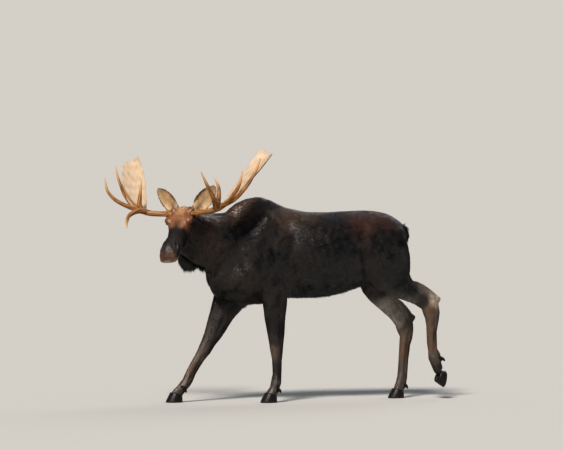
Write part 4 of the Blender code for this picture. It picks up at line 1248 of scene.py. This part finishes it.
def nearest_row(points, rows):
    """Index of the nearest of the rows to each point, and the distance."""
    best = [(gap.argmin(axis=1), np.sqrt(gap.min(axis=1))) for gap in gaps(points, rows)]
    return tuple(np.concatenate(values) for values in zip(*best))


# Weathered bone: half dull, tan where it rubs on brush and cream where it does not, save the palm's
# back, which is painted dark brown as painted shade; with pores 4 mm apart, which is coarser than
# real ones so that they show
bone = surface("weathered antler", 260, 0.001, 0.35, 4.0, Roughness=0.5, Specular_IOR_Level=0.4)

for word, side in (("left", 1), ("right", -RIGHT_SPREAD)):
    place = BROW_FRAME @ Matrix.Diagonal((side, 1, 1, 1))
    rods = (BEAM, *OUTER_TINES, *BROW_TINES[word])
    shapes = [new_mesh(*rod(rows)) for rows in rods] + [new_mesh(*palm())]
    antler = melted(f"antler_{word}", [merged(shape, shape) for shape in shapes], ANTLER_VOXEL)
    points, _ = numbers(antler.data)
    points = eased(points, edge_pairs(antler.data), 0.5, 9)
    normals = outward(antler.data, points)

    # Grooves follow each rod: noise over the place round its middle, drawn out along its run.
    lines = [between(rows) for rows in rods]
    ways = np.concatenate([np.gradient(line[:, :3], axis=0) for line in lines])
    runs = np.concatenate([run_along(line[:, :3]) + 3 * k for k, line in enumerate(lines)])
    share = np.concatenate([np.linspace(0, 1, len(line)) for line in lines])
    is_tine = np.repeat([k > 0 for k in range(len(lines))], [len(line) for line in lines])
    lines = np.concatenate(lines)
    index, gap = nearest_row(points, lines[:, :3])
    rod_drawn = drawn_out(points - lines[index, :3], unit_long(ways[index]), runs[index])

    # On the palm they fan out over its middle surface, by the place along and across it.
    middle, palm_normal, _ = palm_middle()
    palm_index, _ = nearest_row(points, middle.reshape(-1, 3))
    onward, over = np.gradient(middle, axis=(0, 1))
    width = np.linalg.norm(over, axis=2).cumsum(axis=1).ravel()[palm_index]
    onward = unit_long(onward.reshape(-1, 3)[palm_index])
    over = unit_long(over.reshape(-1, 3)[palm_index])
    rel = points - middle.reshape(-1, 3)[palm_index]
    run = run_along(middle[:, PALM_COLUMNS // 2])[palm_index // PALM_COLUMNS]
    palm_drawn = drawn_out(rel * 0, onward, run + (rel * onward).sum(axis=1))
    palm_drawn[:, 0] += width + (rel * over).sum(axis=1)
    off_rod = gap - lines[index, 3]
    on_palm = ramp(off_rod, 0.004, 0.018)
    on_rod, on_plate = (rowing(drawn, 0.016, 21) * 0.6 + rowing(drawn, 0.007, 22) * 0.4
                        for drawn in (rod_drawn, palm_drawn))
    grooves = mixed(on_rod, on_plate, on_palm)

    # Pearls crowd the burr; the tips are rubbed pale.
    burr = hump((points[:, 0] - BURR_AT) / BURR_HALF) * (off_rod < 0.01)
    pearls = np.maximum(rowing(points, 0.011, 23), 0) * (burr + 0.15 * (points[:, 0] < 0.26))
    tip = ramp(share[index], 0.62, 1.0) * is_tine[index] * (1 - on_palm)
    height = GROOVE_HEIGHT * grooves * (1 - 0.7 * tip) + PEARL_HEIGHT * pearls
    points = points + normals * height[:, None]
    # Painted shade: the palm's back, facing away from its cup, is painted dark brown where shade
    # falls on it.
    facing = (normals * palm_normal.reshape(-1, 3)[palm_index]).sum(axis=1)
    cup = ramp(facing, 0.2, 0.7) * on_palm
    painted_palm_shade = ramp(-facing, 0.2, 0.7) * on_palm
    tone = mixed(TINE_TAN, TINE_BROWN, np.clip(0.30 - 0.8 * grooves, 0, 1)[:, None])
    tone = mixed(tone, TIP_PALE, 0.75 * tip[:, None])
    cream = PALM_CREAM * (1 + 0.10 * rowing(points, 0.07, 25))[:, None]
    cream = mixed(cream, TINE_TAN, 0.30 * np.clip(-grooves, 0, 1)[:, None])
    tone = mixed(mixed(tone, cream, cup[:, None]), PALM_BACK_SHADE, 0.7 * painted_palm_shade[:, None])
    antler.data.vertices.foreach_set("co", carried(place, points).ravel())
    if side < 0:
        antler.data.flip_normals()
    painted(antler, np.clip(tone, 0, 1))
    fitted(antler, bone, "antler",
           *(f"antler_{word}_{part}" for part in ("beam", "brow_tines", "palm")))

# ------------------------------------------------------------------ hooves and dewclaws
# Each foot has two black horn hooves side by side and two small dewclaws behind. Horn grows
# down from the hair line in faint rings and is worn pale and rough at the sole's edge.

HORN_VOXEL = {"hoof": 0.0030, "dewclaw": 0.0022}
RING_GAP = 0.0055
RING_DEPTH = 0.0004
HORN = linear("#1c1917")
HORN_WORN = linear("#4a4239")

# Horn: a dull polish, black, with fibres 2 mm apart, coarser than real ones so that they show
horn = surface("hoof horn", 500, 0.0006, 0.3, Roughness=0.40, Specular_IOR_Level=0.5)

for name in (f"{kind}_{foot}_{word}"
             for foot in ("front_left", "front_right", "hind_left", "hind_right")
             for kind in ("hoof", "dewclaw") for word in ("outer", "inner")):
    kind = name.split("_")[0]
    piece = melted(f"horn_{name}", [plain_copy(name)], HORN_VOXEL[kind])
    points, _ = numbers(piece.data)
    on_sole = points[:, 2] < points[:, 2].min() + 0.001
    points = eased(points, edge_pairs(piece.data), np.where(on_sole, 0.1, 0.5), 18)
    normals = outward(piece.data, points)
    up = points[:, 2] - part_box(name)[0][2]
    rings = np.sin(2 * math.pi * (up + 0.002 * rowing(points, 0.03, 31)) / RING_GAP)
    wall = (1 - np.abs(normals[:, 2])) * (kind == "hoof")
    points = points + normals * (RING_DEPTH * rings * wall)[:, None]
    outward(piece.data, points)
    worn = (1 - ramp(up, 0.0, 0.012)) * (0.6 + 0.4 * rowing(points, 0.015, 32))
    tone = mixed(HORN, HORN_WORN, np.clip(worn, 0, 1)[:, None])
    tone = tone * (1 + 0.15 * rings + 0.2 * rowing(points, 0.02, 33))[:, None]
    painted(piece, np.clip(tone, 0, 1))
    fitted(piece, horn, "hoof", name)

# ------------------------------------------------------------------ floor, light and camera
# A plain pale floor and backdrop, a soft key light from high on the left and a little in front,
# and a weak fill from the right; the camera stands level with the belly, a long way off to the
# animal's left.

FLOOR_HALF = 300.0
PLASTER = linear("#bab7b2")
# Each lamp: where it shines from, its strength, its colour and its spread in degrees
LAMPS = {
    "key": ((0.66, -0.50, 0.74), 3.4, (1.0, 0.96, 0.90), 14),
    "fill": ((-0.55, 0.65, 0.60), 0.75, (0.90, 0.95, 1.0), 40),
}
SKY_COLOUR = linear("#d5dfee")
SKY_STRENGTH = 0.24
CAMERA_AT = Vector((20.717, -7.405, 1.265)) + Vector(ELBOW)
CAMERA_TURN = (math.radians(90.966), 0, math.radians(70))
SENSOR_WIDTH = 36
LENS = 151.7
VIEW_END = 200

# Matt paint over plaster: no gloss, so the lamps leave no glare on it
plaster = surface("pale floor", Base_Color=(*PLASTER, 1), Roughness=1.0, Specular_IOR_Level=0.0)
corners = np.array([[-1, -1, 0], [1, -1, 0], [1, 1, 0], [-1, 1, 0]]) * FLOOR_HALF
floor = placed("floor", new_mesh(corners, np.array([[0, 1, 2, 3]])))
floor.data.materials.append(plaster)

lit_floor = SKY_STRENGTH * SKY_COLOUR
for name, (place, strength, colour, spread) in LAMPS.items():
    place = Vector(place).normalized()
    lit_floor = lit_floor + strength * place.z / math.pi * np.array(colour)
    light = bpy.data.lights.new(name, "SUN")
    light.energy = strength
    light.color = colour
    light.angle = math.radians(spread)
    placed(name, light).rotation_euler = place.to_track_quat("Z", "Y").to_euler()

# The lamps are distant, so the floor is as bright far away as near by. The backdrop behind it
# has the lit floor's own brightness: floor colour times the sum of lamps over pi and sky. What
# lights the animal from all round is the weaker sky.
sky = bpy.data.worlds.new("studio")
sky.use_nodes = True
tree = sky.node_tree
ambient = tree.nodes["Background"]
ambient.inputs["Color"].default_value = (*SKY_COLOUR, 1)
ambient.inputs["Strength"].default_value = SKY_STRENGTH
backdrop = node(tree, "ShaderNodeBackground", Color=(*(PLASTER * lit_floor), 1), Strength=1.0)
seen = node(tree, "ShaderNodeLightPath")
both = node(tree, "ShaderNodeMixShader", {
    0: seen.outputs["Is Camera Ray"], 1: ambient.outputs[0], 2: backdrop.outputs[0],
})
tree.links.new(both.outputs[0], tree.nodes["World Output"].inputs["Surface"])
bpy.context.scene.world = sky
bpy.context.scene.view_settings.view_transform = "Standard"
bpy.context.scene.view_settings.look = "High Contrast"

view = bpy.data.cameras.new("camera")
view.sensor_width = SENSOR_WIDTH
view.lens = LENS
view.clip_end = VIEW_END
camera = placed("camera", view)
camera.location = CAMERA_AT
camera.rotation_euler = CAMERA_TURN
bpy.context.scene.camera = camera
